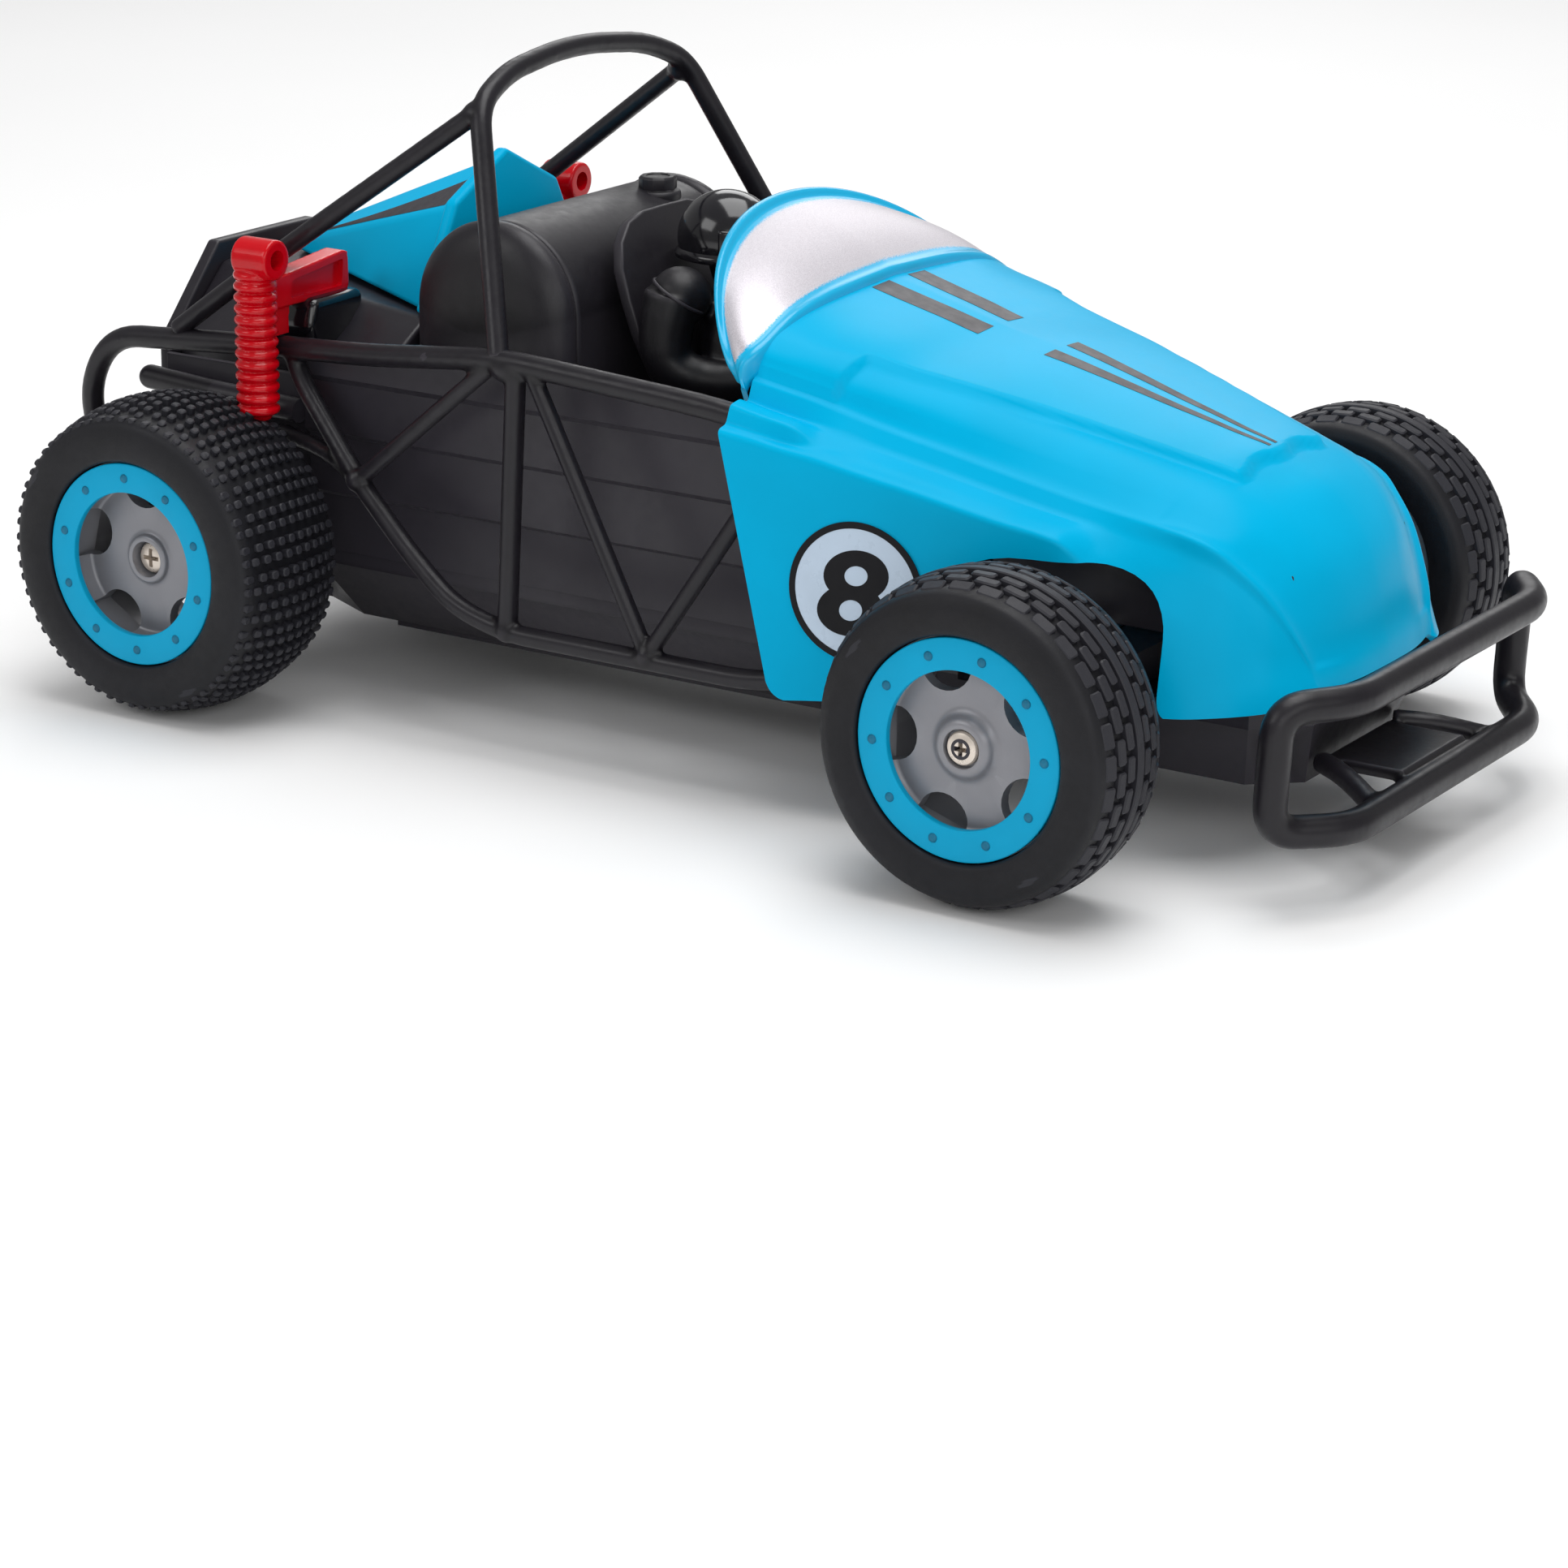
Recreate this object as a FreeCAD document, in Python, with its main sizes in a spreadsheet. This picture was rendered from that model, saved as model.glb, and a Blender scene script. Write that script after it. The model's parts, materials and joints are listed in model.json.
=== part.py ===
import FreeCAD, Part

import math
import os

import Sketcher
from FreeCAD import Placement, Rotation, Vector

# Remote control race car, in millimetres.
# Row frame: +X forward, +Y to the car's left, +Z up, origin on the ground under the middle of the car.
# Inside each sub-part, x is counted from the rear axle; the Placement moves it into the row frame.

DIMENSIONS = {
    "rear_axle_x": -109.34, "wheelbase": 202.5,
    "rear_track_half": 81.8, "rear_wheel_z": 33.5, "rear_tyre_r": 33.5, "rear_tyre_w": 31.7,
    "front_track_half": 89.6, "front_wheel_z": 32.0, "front_tyre_r": 32.0, "front_tyre_w": 25.8,
    "bead_ring_r": 21.3, "bead_ring_bore": 15.2, "bead_ring_thick": 1.6, "bead_rivets": 10,
    "rivet_circle_r": 18.2, "rivet_r": 0.8, "tyre_bore_r": 21.6, "spoke_gaps": 5,
    "axle_r": 2.0, "axle_bore_r": 2.06, "screw_head_r": 3.25, "screw_shank_r": 1.2,
    "kingpin_half": 60.0, "kingpin_r": 1.5, "kingpin_bore_r": 1.56, "steer_arm": 12.0,
    "tie_pin_r": 1.0, "tie_slot_half": 1.12, "tie_slot_reach": 1.9,
    "rail_r": 2.45, "strut_r": 1.8, "hoop_r": 2.2, "bumper_r": 3.0, "tube_bend": 6.0,
    "pan_floor_z": 13.0, "pan_side_z": 27.0, "pan_rim_z": 30.0, "pan_wall": 2.2,
    "gear_module": 0.6, "axle_teeth": 44, "counter_small_teeth": 14, "counter_large_teeth": 36,
    "pinion_teeth": 14, "gear_backlash": 0.12, "counter_angle": 20.0, "motor_angle": -15.0,
    "motor_r": 12.0, "motor_len": 27.0, "shell_wall": 1.6, "shell_half": 61.0,
    "tank_r": 18.7, "tank_x": 58.0, "tank_z": 85.0, "tank_half": 30.0, "tank_cap_len": 8.0,
    "cockpit_floor_z": 50.0, "panel_wall": 2.0, "shock_r": 4.6, "shock_rings": 11, "shock_pitch": 2.3,
}

doc = FreeCAD.newDocument("remote_control_car")
sheet = doc.addObject("Spreadsheet::Sheet", "dims")
for row, (alias, value) in enumerate(DIMENSIONS.items(), 1):
    sheet.set(f"A{row}", alias)
    sheet.set(f"B{row}", str(value))
    sheet.setAlias(f"B{row}", alias)
doc.recompute()


def size(alias):
    return float(sheet.get(alias))


REAR_X = size("rear_axle_x")
FRONT_X = REAR_X + size("wheelbase")
SIDES = {"right": -1, "left": 1}
AXIS_RIGHT = Rotation(Vector(1, 0, 0), 90)   # local Z points to -Y
AXIS_LEFT = Rotation(Vector(1, 0, 0), -90)   # local Z points to +Y
TO_CAR = Placement(Vector(REAR_X, 0, 0), Rotation())
parts = []


# ---------------------------------------------------------------- helpers
def register(obj, label, placement=TO_CAR):
    """Names a finished sub-part and puts it in its place."""
    obj.Label = label
    obj.Placement = placement
    parts.append(obj)
    return obj


def new_body(label, placement=TO_CAR):
    body = doc.addObject("PartDesign::Body", "Body")
    return register(body, label, placement)


def new_sketch(body, role, offset=0.0):
    plane = next(f for f in body.Origin.OriginFeatures if f.Role == role)
    sketch = body.newObject("Sketcher::SketchObject", "Sketch")
    sketch.AttachmentSupport = [(plane, "")]
    sketch.MapMode = "FlatFace"
    sketch.AttachmentOffset = Placement(Vector(0, 0, offset), Rotation())
    return sketch


def add_outline(sketch, points):
    corners = [Vector(u, v, 0) for u, v in points]
    for start, end in zip(corners, corners[1:] + corners[:1]):
        sketch.addGeometry(Part.LineSegment(start, end), False)


def add_circle(sketch, radius, centre=(0.0, 0.0), alias=None):
    """A circle, its radius bound to the sheet when an alias is given."""
    index = sketch.addGeometry(Part.Circle(Vector(*centre, 0), Vector(0, 0, 1), radius), False)
    place = sketch.addConstraint(Sketcher.Constraint("Radius", index, radius))
    if alias:
        sketch.setExpression(f"Constraints[{place}]", f"dims.{alias}")


def outline_sketch(body, role, points, offset=0.0):
    sketch = new_sketch(body, role, offset)
    add_outline(sketch, points)
    return sketch


def circle_sketch(body, role, radius, centre=(0.0, 0.0), offset=0.0, alias=None):
    sketch = new_sketch(body, role, offset)
    add_circle(sketch, radius, centre, alias)
    return sketch


def pad(body, sketch, length, midplane=False, expression=None, kind="Pad"):
    feature = body.newObject("PartDesign::" + kind, kind)
    feature.Profile = sketch
    feature.Length = length
    feature.Midplane = midplane
    if expression:
        feature.setExpression("Length", expression)
    return feature


def pocket(body, sketch, length, reverse=False, midplane=False):
    feature = pad(body, sketch, length, midplane, kind="Pocket")
    feature.Reversed = reverse
    return feature


def revolve(body, sketch):
    feature = body.newObject("PartDesign::Revolution", "Revolution")
    feature.Profile = sketch
    feature.ReferenceAxis = (sketch, ["V_Axis"])
    feature.Angle = 360
    return feature


def loft(body, sketches, kind="AdditiveLoft"):
    feature = body.newObject("PartDesign::" + kind, kind)
    feature.Profile = sketches[0]
    feature.Sections = sketches[1:]
    feature.Ruled = True
    return feature


def polar(body, feature, count, alias=None):
    axis = next(f for f in body.Origin.OriginFeatures if f.Role == "Z_Axis")
    pattern = body.newObject("PartDesign::PolarPattern", "PolarPattern")
    pattern.Originals = [feature]
    pattern.Axis = (axis, [""])
    pattern.Angle = 360
    pattern.Occurrences = count
    if alias:
        pattern.setExpression("Occurrences", f"dims.{alias}")
    body.Tip = pattern
    return pattern


def mirrored(points):
    """A closed outline from its +u half, listed from top centre to bottom centre."""
    return points + [(-u, v) for u, v in reversed(points) if u > 0]


def box(low, high):
    return Part.makeBox(*(b - a for a, b in zip(low, high)), Vector(*low))


def rod(start, end, radius):
    start, end = Vector(*start), Vector(*end)
    return Part.makeCylinder(radius, (end - start).Length, start, end - start)


def tube(points, radius, bend, closed_ends=True):
    """A round tube along straight runs joined by tangent arcs."""
    points = [Vector(*p) for p in points]
    edges = []
    last = points[0]
    for before, corner, after in zip(points, points[1:], points[2:]):
        into, out = (corner - before).normalize(), (after - corner).normalize()
        turn = into.getAngle(out)
        cut = min(bend * math.tan(turn / 2), 0.45 * (corner - before).Length, 0.45 * (after - corner).Length)
        start, end = corner - into * cut, corner + out * cut
        middle_dir = (out - into).normalize()
        real_bend = cut / math.tan(turn / 2)
        middle = corner + middle_dir * (real_bend / math.cos(turn / 2) - real_bend)
        edges.append(Part.LineSegment(last, start).toShape())
        edges.append(Part.Arc(start, middle, end).toShape())
        last = end
    edges.append(Part.LineSegment(last, points[-1]).toShape())
    path = Part.Wire(edges)
    profile = Part.Wire([Part.Circle(points[0], points[1] - points[0], radius).toShape()])
    shape = path.makePipeShell([profile], True, False)
    if closed_ends:
        for end in (points[0], points[-1]):
            shape = shape.fuse(Part.makeSphere(radius, end))
    return shape


def fused(shapes):
    first, *rest = shapes
    return first.multiFuse(rest).removeSplitter() if rest else first


def add_shape(label, shape, placement=TO_CAR):
    obj = doc.addObject("Part::Feature", "Shape")
    obj.Shape = shape
    return register(obj, label, placement)


def mirror_y(shape):
    return shape.mirror(Vector(0, 0, 0), Vector(0, 1, 0))


def both_sides(shape):
    return Part.makeCompound([shape, mirror_y(shape)])


def side_pair(label, shape):
    """The right-hand piece and its mirror image on the left."""
    add_shape(f"{label}_right", shape)
    add_shape(f"{label}_left", mirror_y(shape))


# ---------------------------------------------------------------- wheels
# A wheel's local Z is its axle, pointing outboard, with zero at the bead ring's outer face.
def tyre_profile(radius, width, bore):
    outer = 1.4
    inner = outer - width
    shoulder = radius - 3.2
    crown = radius
    return [(bore, inner + 2.2), (bore + 2.5, inner), (shoulder - 1.5, inner + 0.6), (shoulder + 1.8, inner + 2.4),
            (crown, inner + 5.0), (crown, outer - 5.0), (shoulder + 1.8, outer - 2.4), (shoulder - 1.5, outer - 0.6),
            (bore + 3.0, outer), (bore, outer - 1.2)]


def rim_profile(width, face, boss_top, boss_r, recess_r, recess_bottom, hub_bottom, bore):
    barrel_r = size("tyre_bore_r") - 0.05
    back = 1.4 - width + 3.0
    lip = -size("bead_ring_thick") - 0.1
    points = [(bore, hub_bottom), (5.2, hub_bottom), (5.2, face - 2.4), (18.4, face - 2.4), (18.4, back), (barrel_r, back),
              (barrel_r, lip), (17.2, lip), (15.6, face), (boss_r + 2.0, face), (boss_r, boss_top)]
    if recess_r:
        points += [(recess_r, boss_top), (recess_r, recess_bottom), (bore, recess_bottom)]
    else:
        points += [(bore, boss_top)]
    return points


def half_oval(width, r_inner, r_outer, steps=7):
    """A half-oval with its round end towards the hub and its open end past the rim's lip, along local X."""
    points = [(r_outer, -width), (r_outer, width)]
    for i in range(steps + 1):
        a = math.pi / 2 + math.pi * i / steps
        points.append((r_outer - 1.5 + (r_outer - 1.5 - r_inner) * math.cos(a), width * math.sin(a)))
    return points


def make_wheel(corner, track, z, tyre_r, tyre_w, rim):
    side = corner.split("_")[1]
    turn = AXIS_RIGHT if side == "right" else AXIS_LEFT
    x = REAR_X if corner.startswith("rear") else FRONT_X
    place = Placement(Vector(x, SIDES[side] * track, z), turn)

    tyre = new_body(f"tyre_{corner}", place)
    profile = tyre_profile(tyre_r, tyre_w, size("tyre_bore_r"))
    revolve(tyre, outline_sketch(tyre, "XZ_Plane", profile))

    wheel = new_body(f"rim_{corner}", place)
    revolve(wheel, outline_sketch(wheel, "XZ_Plane", rim_profile(tyre_w, **rim)))
    gap = pocket(wheel, outline_sketch(wheel, "XY_Plane", half_oval(3.6, 9.4, 15.4), rim["face"] - 3.0), 4.0, reverse=True)
    polar(wheel, gap, int(size("spoke_gaps")), "spoke_gaps")

    ring = new_body(f"bead_ring_{corner}", place)
    thick = size("bead_ring_thick")
    sketch = new_sketch(ring, "XY_Plane", -thick)
    add_circle(sketch, size("bead_ring_r"), alias="bead_ring_r")
    add_circle(sketch, size("bead_ring_bore"), alias="bead_ring_bore")
    pad(ring, sketch, thick, expression="dims.bead_ring_thick")
    rivet = pad(ring, circle_sketch(ring, "XY_Plane", size("rivet_r"), (size("rivet_circle_r"), 0), -0.2,
                                    "rivet_r"), 0.6)
    polar(ring, rivet, int(size("bead_rivets")), "bead_rivets")
    return place


def draw_wheel_screw(screw, seat):
    """A pan-head cross-recess screw with a washer under its head; seat is the washer's underside."""
    head_r, shank_r = size("screw_head_r"), size("screw_shank_r")
    profile = [(0, seat - 7.5), (shank_r - 0.4, seat - 7.5), (shank_r, seat - 6.8), (shank_r, seat), (head_r, seat),
               (head_r, seat + 0.5), (head_r - 0.5, seat + 0.5), (head_r - 0.6, seat + 1.3),
               (head_r - 1.5, seat + 1.9), (0, seat + 2.1)]
    revolve(screw, outline_sketch(screw, "XZ_Plane", profile))
    slot = pocket(screw, outline_sketch(screw, "XY_Plane", [(-0.35, -1.7), (0.35, -1.7), (0.35, 1.7), (-0.35, 1.7)],
                                        seat + 0.9), 2.0, reverse=True)
    polar(screw, slot, 4)


FRONT_RIM = dict(face=-4.0, boss_top=-1.3, boss_r=5.0, recess_r=0, recess_bottom=0, hub_bottom=-19.0,
                 bore=size("axle_bore_r"))
REAR_RIM = dict(face=-6.5, boss_top=-4.9, boss_r=5.2, recess_r=3.7, recess_bottom=-8.2, hub_bottom=-22.0,
                bore=size("axle_r") + 0.005)
FRONT_SEAT = -1.2
REAR_SEAT = REAR_RIM["recess_bottom"]

rear_screws = []
for side in SIDES:
    spot = make_wheel(f"rear_{side}", size("rear_track_half"), size("rear_wheel_z"), size("rear_tyre_r"),
                      size("rear_tyre_w"), REAR_RIM)
    rear_screws.append(doc.addObject("PartDesign::Body", "RearScrew"))
    rear_screws[-1].Placement = spot
    draw_wheel_screw(rear_screws[-1], REAR_SEAT)
    spot = make_wheel(f"front_{side}", size("front_track_half"), size("front_wheel_z"), size("front_tyre_r"),
                      size("front_tyre_w"), FRONT_RIM)
    draw_wheel_screw(new_body(f"wheel_screw_front_{side}", spot), FRONT_SEAT)
screw_group = doc.addObject("Part::Compound", "RearScrews")
screw_group.Links = rear_screws
register(screw_group, "rear_wheel_screws", Placement())


# ---------------------------------------------------------------- rear drive
AXLE_Z = size("rear_wheel_z")
MODULE = size("gear_module")
COUNTER_ANGLE = math.radians(size("counter_angle"))
MOTOR_ANGLE = math.radians(size("motor_angle"))
COUNTER_REACH = MODULE * (size("axle_teeth") + size("counter_small_teeth")) / 2
MOTOR_REACH = MODULE * (size("counter_large_teeth") + size("pinion_teeth")) / 2
COUNTER = (COUNTER_REACH * math.cos(COUNTER_ANGLE), AXLE_Z + COUNTER_REACH * math.sin(COUNTER_ANGLE))
MOTOR = (COUNTER[0] + MOTOR_REACH * math.cos(MOTOR_ANGLE), COUNTER[1] + MOTOR_REACH * math.sin(MOTOR_ANGLE))


def gear_outline(teeth, turn):
    """An involute spur gear's outline with a tooth centred on the angle turn."""
    pressure = math.radians(20)
    pitch_r = MODULE * teeth / 2
    base_r = pitch_r * math.cos(pressure)
    tip_r = pitch_r + 0.85 * MODULE
    root_r = pitch_r - 1.25 * MODULE
    half = math.pi / (2 * teeth) - size("gear_backlash") / (2 * pitch_r)

    def involute(angle):
        return math.tan(angle) - angle

    def flank(radius):
        inner = math.acos(min(1.0, base_r / max(radius, base_r)))
        return half + involute(pressure) - involute(inner)

    radii = [root_r, max(base_r, root_r + 0.01), pitch_r, (pitch_r + tip_r) / 2, tip_r]
    points = []
    for tooth in range(teeth):
        centre = turn + 2 * math.pi * tooth / teeth
        for radius in radii:
            points.append((radius * math.cos(centre - flank(radius)), radius * math.sin(centre - flank(radius))))
        for radius in reversed(radii):
            points.append((radius * math.cos(centre + flank(radius)), radius * math.sin(centre + flank(radius))))
    return points


def across(x, y, z):
    """Placement of a piece whose local Z points to the car's right, from the point (x, y, z)."""
    return Placement(Vector(REAR_X + x, y, z), AXIS_RIGHT)


def make_gear(body, teeth, turn, width, start, bore_alias):
    sketch = outline_sketch(body, "XY_Plane", gear_outline(teeth, turn), start)
    add_circle(sketch, size(bore_alias), alias=bore_alias)
    pad(body, sketch, width)


axle = doc.addObject("Part::Cylinder", "AxleRod")
axle_half = size("rear_track_half") + REAR_SEAT - 0.1
axle.setExpression("Radius", "dims.axle_r")
axle.Height = 2 * axle_half
axle_holes = [doc.addObject("Part::Cylinder", "AxleHole") for _ in SIDES]
for hole, start in zip(axle_holes, (0.0, 2 * axle_half - 9.0)):
    hole.Radius = size("screw_shank_r") + 0.02
    hole.Height = 9.0
    hole.Placement = Placement(Vector(0, 0, start), Rotation())
drilled = axle
for hole in axle_holes:
    cut = doc.addObject("Part::Cut", "DrilledAxle")
    cut.Base, cut.Tool = drilled, hole
    drilled = cut
register(drilled, "rear_axle", across(0, axle_half, AXLE_Z))

axle_gear = new_body("axle_gear", across(0, 12.2, AXLE_Z))
make_gear(axle_gear, int(size("axle_teeth")), COUNTER_ANGLE, 4.6, 0.0, "axle_r")
counter_small = int(size("counter_small_teeth"))
counter_gear = new_body("counter_gear", across(COUNTER[0], 12.4, COUNTER[1]))
make_gear(counter_gear, counter_small, COUNTER_ANGLE + math.pi + math.pi / counter_small, 7.0, 0.0, "kingpin_bore_r")
make_gear(counter_gear, int(size("counter_large_teeth")), MOTOR_ANGLE, 4.0, 7.0, "kingpin_bore_r")
pinion_teeth = int(size("pinion_teeth"))
pinion = new_body("motor_pinion", across(MOTOR[0], 5.6, MOTOR[1]))
outline = outline_sketch(pinion, "XY_Plane", gear_outline(pinion_teeth, MOTOR_ANGLE + math.pi + math.pi / pinion_teeth))
pad(pinion, outline, 4.6)
pad(pinion, circle_sketch(pinion, "XY_Plane", 1.0, offset=4.6), 6.0)

countershaft = doc.addObject("Part::Cylinder", "CounterPin")
countershaft.setExpression("Radius", "dims.kingpin_r")
countershaft.Height = 15.6
register(countershaft, "countershaft", across(COUNTER[0], 13.8, COUNTER[1]))

motor = new_body("drive_motor", across(MOTOR[0], -3.1, MOTOR[1]))
can = pad(motor, circle_sketch(motor, "XY_Plane", size("motor_r"), alias="motor_r"), size("motor_len"),
          expression="dims.motor_len")
pad(motor, circle_sketch(motor, "XY_Plane", 3.0, offset=size("motor_len")), 2.0)
pocket(motor, circle_sketch(motor, "XY_Plane", 1.05), 8.0, reverse=True)

CASE_LOW, CASE_HIGH = (-16.0, -3.0, 15.4), (38.5, 13.0, 53.6)
case_box = box(CASE_LOW, CASE_HIGH).cut(box((-14.2, -1.0, 17.4), (36.7, 13.0, 51.8)))
tube_right = rod((0, -46, AXLE_Z), (0, -3, AXLE_Z), 6.0)
tube_left = rod((0, 15.2, AXLE_Z), (0, 46, AXLE_Z), 6.0)
axle_way = rod((0, -50, AXLE_Z), (0, 50, AXLE_Z), 3.0)
seats = both_sides(rod((0, -50, AXLE_Z), (0, -39.9, AXLE_Z), 4.3))
pin_way = rod((COUNTER[0], -3, COUNTER[1]), (COUNTER[0], 20, COUNTER[1]), size("kingpin_r") + 0.01)
pin_pocket = rod((COUNTER[0], 0.4, COUNTER[1]), (COUNTER[0], -2.0, COUNTER[1]), 3.2)
pinion_way = rod((MOTOR[0], -5, MOTOR[1]), (MOTOR[0], 0, MOTOR[1]), 1.6)
case_screws = [rod((-10, y, 10), (-10, y, 20), size("screw_shank_r") + 0.1) for y in (2, 9)]
case = case_box.fuse(tube_right).fuse(pin_pocket)
for tool in (axle_way, seats, pin_way, pinion_way, *case_screws):
    case = case.cut(tool)
add_shape("gearbox_case", case)
cover = box((CASE_LOW[0], 13.02, CASE_LOW[2]), (CASE_HIGH[0], 15.2, CASE_HIGH[2])).fuse(tube_left)
for tool in (axle_way, seats, rod((COUNTER[0], 13, COUNTER[1]), (COUNTER[0], 14, COUNTER[1]), 1.51)):
    cover = cover.cut(tool)
add_shape("gearbox_cover", cover)
bush = rod((0, -45.8, AXLE_Z), (0, -40, AXLE_Z), 4.28).cut(rod((0, -47, AXLE_Z), (0, -39, AXLE_Z), 2.06))
add_shape("axle_bushes", both_sides(bush))


# ---------------------------------------------------------------- chassis
def pan_outline(front, waist_front, waist_back, back, half, narrow, tail_half, nose_half):
    right = [(back, tail_half), (4.0, tail_half), (waist_back, half), (waist_front, half),
             (waist_front + 15.0, narrow), (front - 9.0, narrow), (front, nose_half)]
    return [(x, -y) for x, y in right] + [(x, y) for x, y in reversed(right)]


pan = new_body("chassis_pan")
floor_z, side_z, rim_z, wall = (size(n) for n in ("pan_floor_z", "pan_side_z", "pan_rim_z", "pan_wall"))
OUTER_LOW = pan_outline(238.0, 148.0, 18.0, -20.0, 27.0, 25.0, 20.0, 17.0)
OUTER_HIGH = pan_outline(242.5, 150.0, 14.0, -23.0, 38.0, 33.5, 26.0, 24.0)
INNER_LOW = pan_outline(238.0 - wall, 148.0, 18.0 + wall, -20.0 + wall, 27.0 - wall, 25.0 - wall, 20.0 - wall, 16.0)
INNER_HIGH = pan_outline(242.5 - wall, 150.0, 14.0 + wall, -23.0 + wall, 38.0 - wall, 33.5 - wall, 26.0 - wall, 23.0)
loft(pan, [outline_sketch(pan, "XY_Plane", OUTER_LOW, floor_z), outline_sketch(pan, "XY_Plane", OUTER_HIGH, side_z)])
pad(pan, outline_sketch(pan, "XY_Plane", OUTER_HIGH, side_z), rim_z - side_z, expression="dims.pan_rim_z - dims.pan_side_z")
loft(pan, [outline_sketch(pan, "XY_Plane", INNER_LOW, floor_z + wall),
           outline_sketch(pan, "XY_Plane", INNER_HIGH, side_z)], "SubtractiveLoft")
pocket(pan, outline_sketch(pan, "XY_Plane", INNER_HIGH, rim_z + 1.0), rim_z + 1.0 - side_z)
pocket(pan, circle_sketch(pan, "XZ_Plane", 6.3, (0, AXLE_Z)), 120.0, midplane=True)
DOOR = dict(back=56.0, front=128.0, half=17.0)
hatch = [(DOOR["back"], -DOOR["half"]), (DOOR["front"], -DOOR["half"]), (DOOR["front"], DOOR["half"]),
         (DOOR["back"], DOOR["half"])]
pocket(pan, outline_sketch(pan, "XY_Plane", hatch, floor_z + wall + 1.0), 6.0)
SCREWS = [(-10.0, 2.0), (-10.0, 9.0), (202.5, -20.0), (202.5, 20.0)]
for spot in SCREWS:
    pocket(pan, circle_sketch(pan, "XY_Plane", size("screw_shank_r") + 0.2, spot, floor_z + wall + 1.0), 6.0)
SWITCH = (48.2, 0.0)
slot = [(SWITCH[0] - 5.0, -1.7), (SWITCH[0] + 5.0, -1.7), (SWITCH[0] + 5.0, 1.7), (SWITCH[0] - 5.0, 1.7)]
pocket(pan, outline_sketch(pan, "XY_Plane", slot, floor_z + wall + 1.0), 6.0)
for side in SIDES.values():
    guide = [(18.6, floor_z), (18.6, 10.6), (17.0, 10.6), (17.0, 9.6), (20.4, 9.6), (20.4, floor_z)]
    rail = new_sketch(pan, "YZ_Plane", 22.0)
    add_outline(rail, [(side * y, z) for y, z in guide])
    pad(pan, rail, DOOR["front"] + 2.0 - 22.0)

door = new_body("battery_door")
plate = [(DOOR["back"] - 1.5, -18.3), (DOOR["front"] + 1.5, -18.3), (DOOR["front"] + 1.5, 18.3),
         (DOOR["back"] - 1.5, 18.3)]
pad(door, outline_sketch(door, "XY_Plane", plate, 10.8), 2.0)
for k in range(4):
    x = DOOR["back"] + 6.0 + 3.0 * k
    grip = [(x, -10.0), (x + 1.2, -10.0), (x + 1.2, 10.0), (x, 10.0)]
    pocket(door, outline_sketch(door, "XY_Plane", grip, 10.8), 0.6, reverse=True)

battery = doc.addObject("Part::Box", "Battery")
battery.Length, battery.Width, battery.Height = 66.0, 32.0, 17.0
register(battery, "battery_pack", Placement(Vector(REAR_X + 59.0, -16.0, 12.9), Rotation()))

shank = size("screw_shank_r")
screws = [rod((x, y, floor_z), (x, y, 19.0), shank).fuse(rod((x, y, floor_z - 1.6), (x, y, floor_z), 2.8))
          for x, y in SCREWS]
add_shape("chassis_screws", Part.makeCompound(screws))

knob = new_body("power_switch")
pad(knob, outline_sketch(knob, "XY_Plane", [(43.6, -1.5), (47.6, -1.5), (47.6, 1.5), (43.6, 1.5)], 13.3), 2.9)
switch_body = box((41.0, -4.0, 16.4), (55.0, 4.0, 22.0))
add_shape("switch_housing", switch_body)

board_shape = [box((134, -18, 18), (168, 18, 19.6)), box((140, -6, 19.6), (150, 4, 21.6)),
               box((156, -14, 19.6), (164, -6, 25.0)), box((140, 8, 19.6), (146, 15, 24.0))]
add_shape("circuit_board", fused(board_shape + [box((x, y, 15.3), (x + 4, y + 4, 18)) for x in (135, 163) for y in (-17, 13)]))

# ---------------------------------------------------------------- steering
WHEEL_Z = size("front_wheel_z")
WHEELBASE = size("wheelbase")
KING = size("kingpin_half")
ARM = size("steer_arm")
ARM_X = WHEELBASE - ARM
beam = box((WHEELBASE - 5.5, -54, 30.3), (WHEELBASE + 5.5, 54, 37.2))
beam = beam.fuse(box((WHEELBASE - 5.5, -22, 15.4), (WHEELBASE + 5.5, 22, 30.3)))
for side in SIDES.values():
    inner, outer = sorted((side * 49.0, side * 60.0))
    for low, high in ((22.8, 26.8), (37.2, 41.0)):
        beam = beam.fuse(box((WHEELBASE - 4.5, inner, low), (WHEELBASE + 4.5, outer, high)))
        beam = beam.fuse(rod((WHEELBASE, side * KING, low), (WHEELBASE, side * KING, high), 4.5))
    inner, outer = sorted((side * 49.0, side * 53.5))
    beam = beam.fuse(box((WHEELBASE - 4.5, inner, 22.8), (WHEELBASE + 4.5, outer, 41.0)))
    beam = beam.cut(rod((WHEELBASE, side * KING, 20), (WHEELBASE, side * KING, 45), size("kingpin_r") + 0.01))
for x, y in SCREWS[2:]:
    beam = beam.cut(rod((x, y, 10), (x, y, 21), shank + 0.1))
add_shape("front_beam", beam.removeSplitter())
king = rod((WHEELBASE, -KING, 22.8), (WHEELBASE, -KING, 41.0), size("kingpin_r"))
king = king.fuse(rod((WHEELBASE, -KING, 41.0), (WHEELBASE, -KING, 42.4), 2.8))
add_shape("kingpins", both_sides(king))


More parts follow.
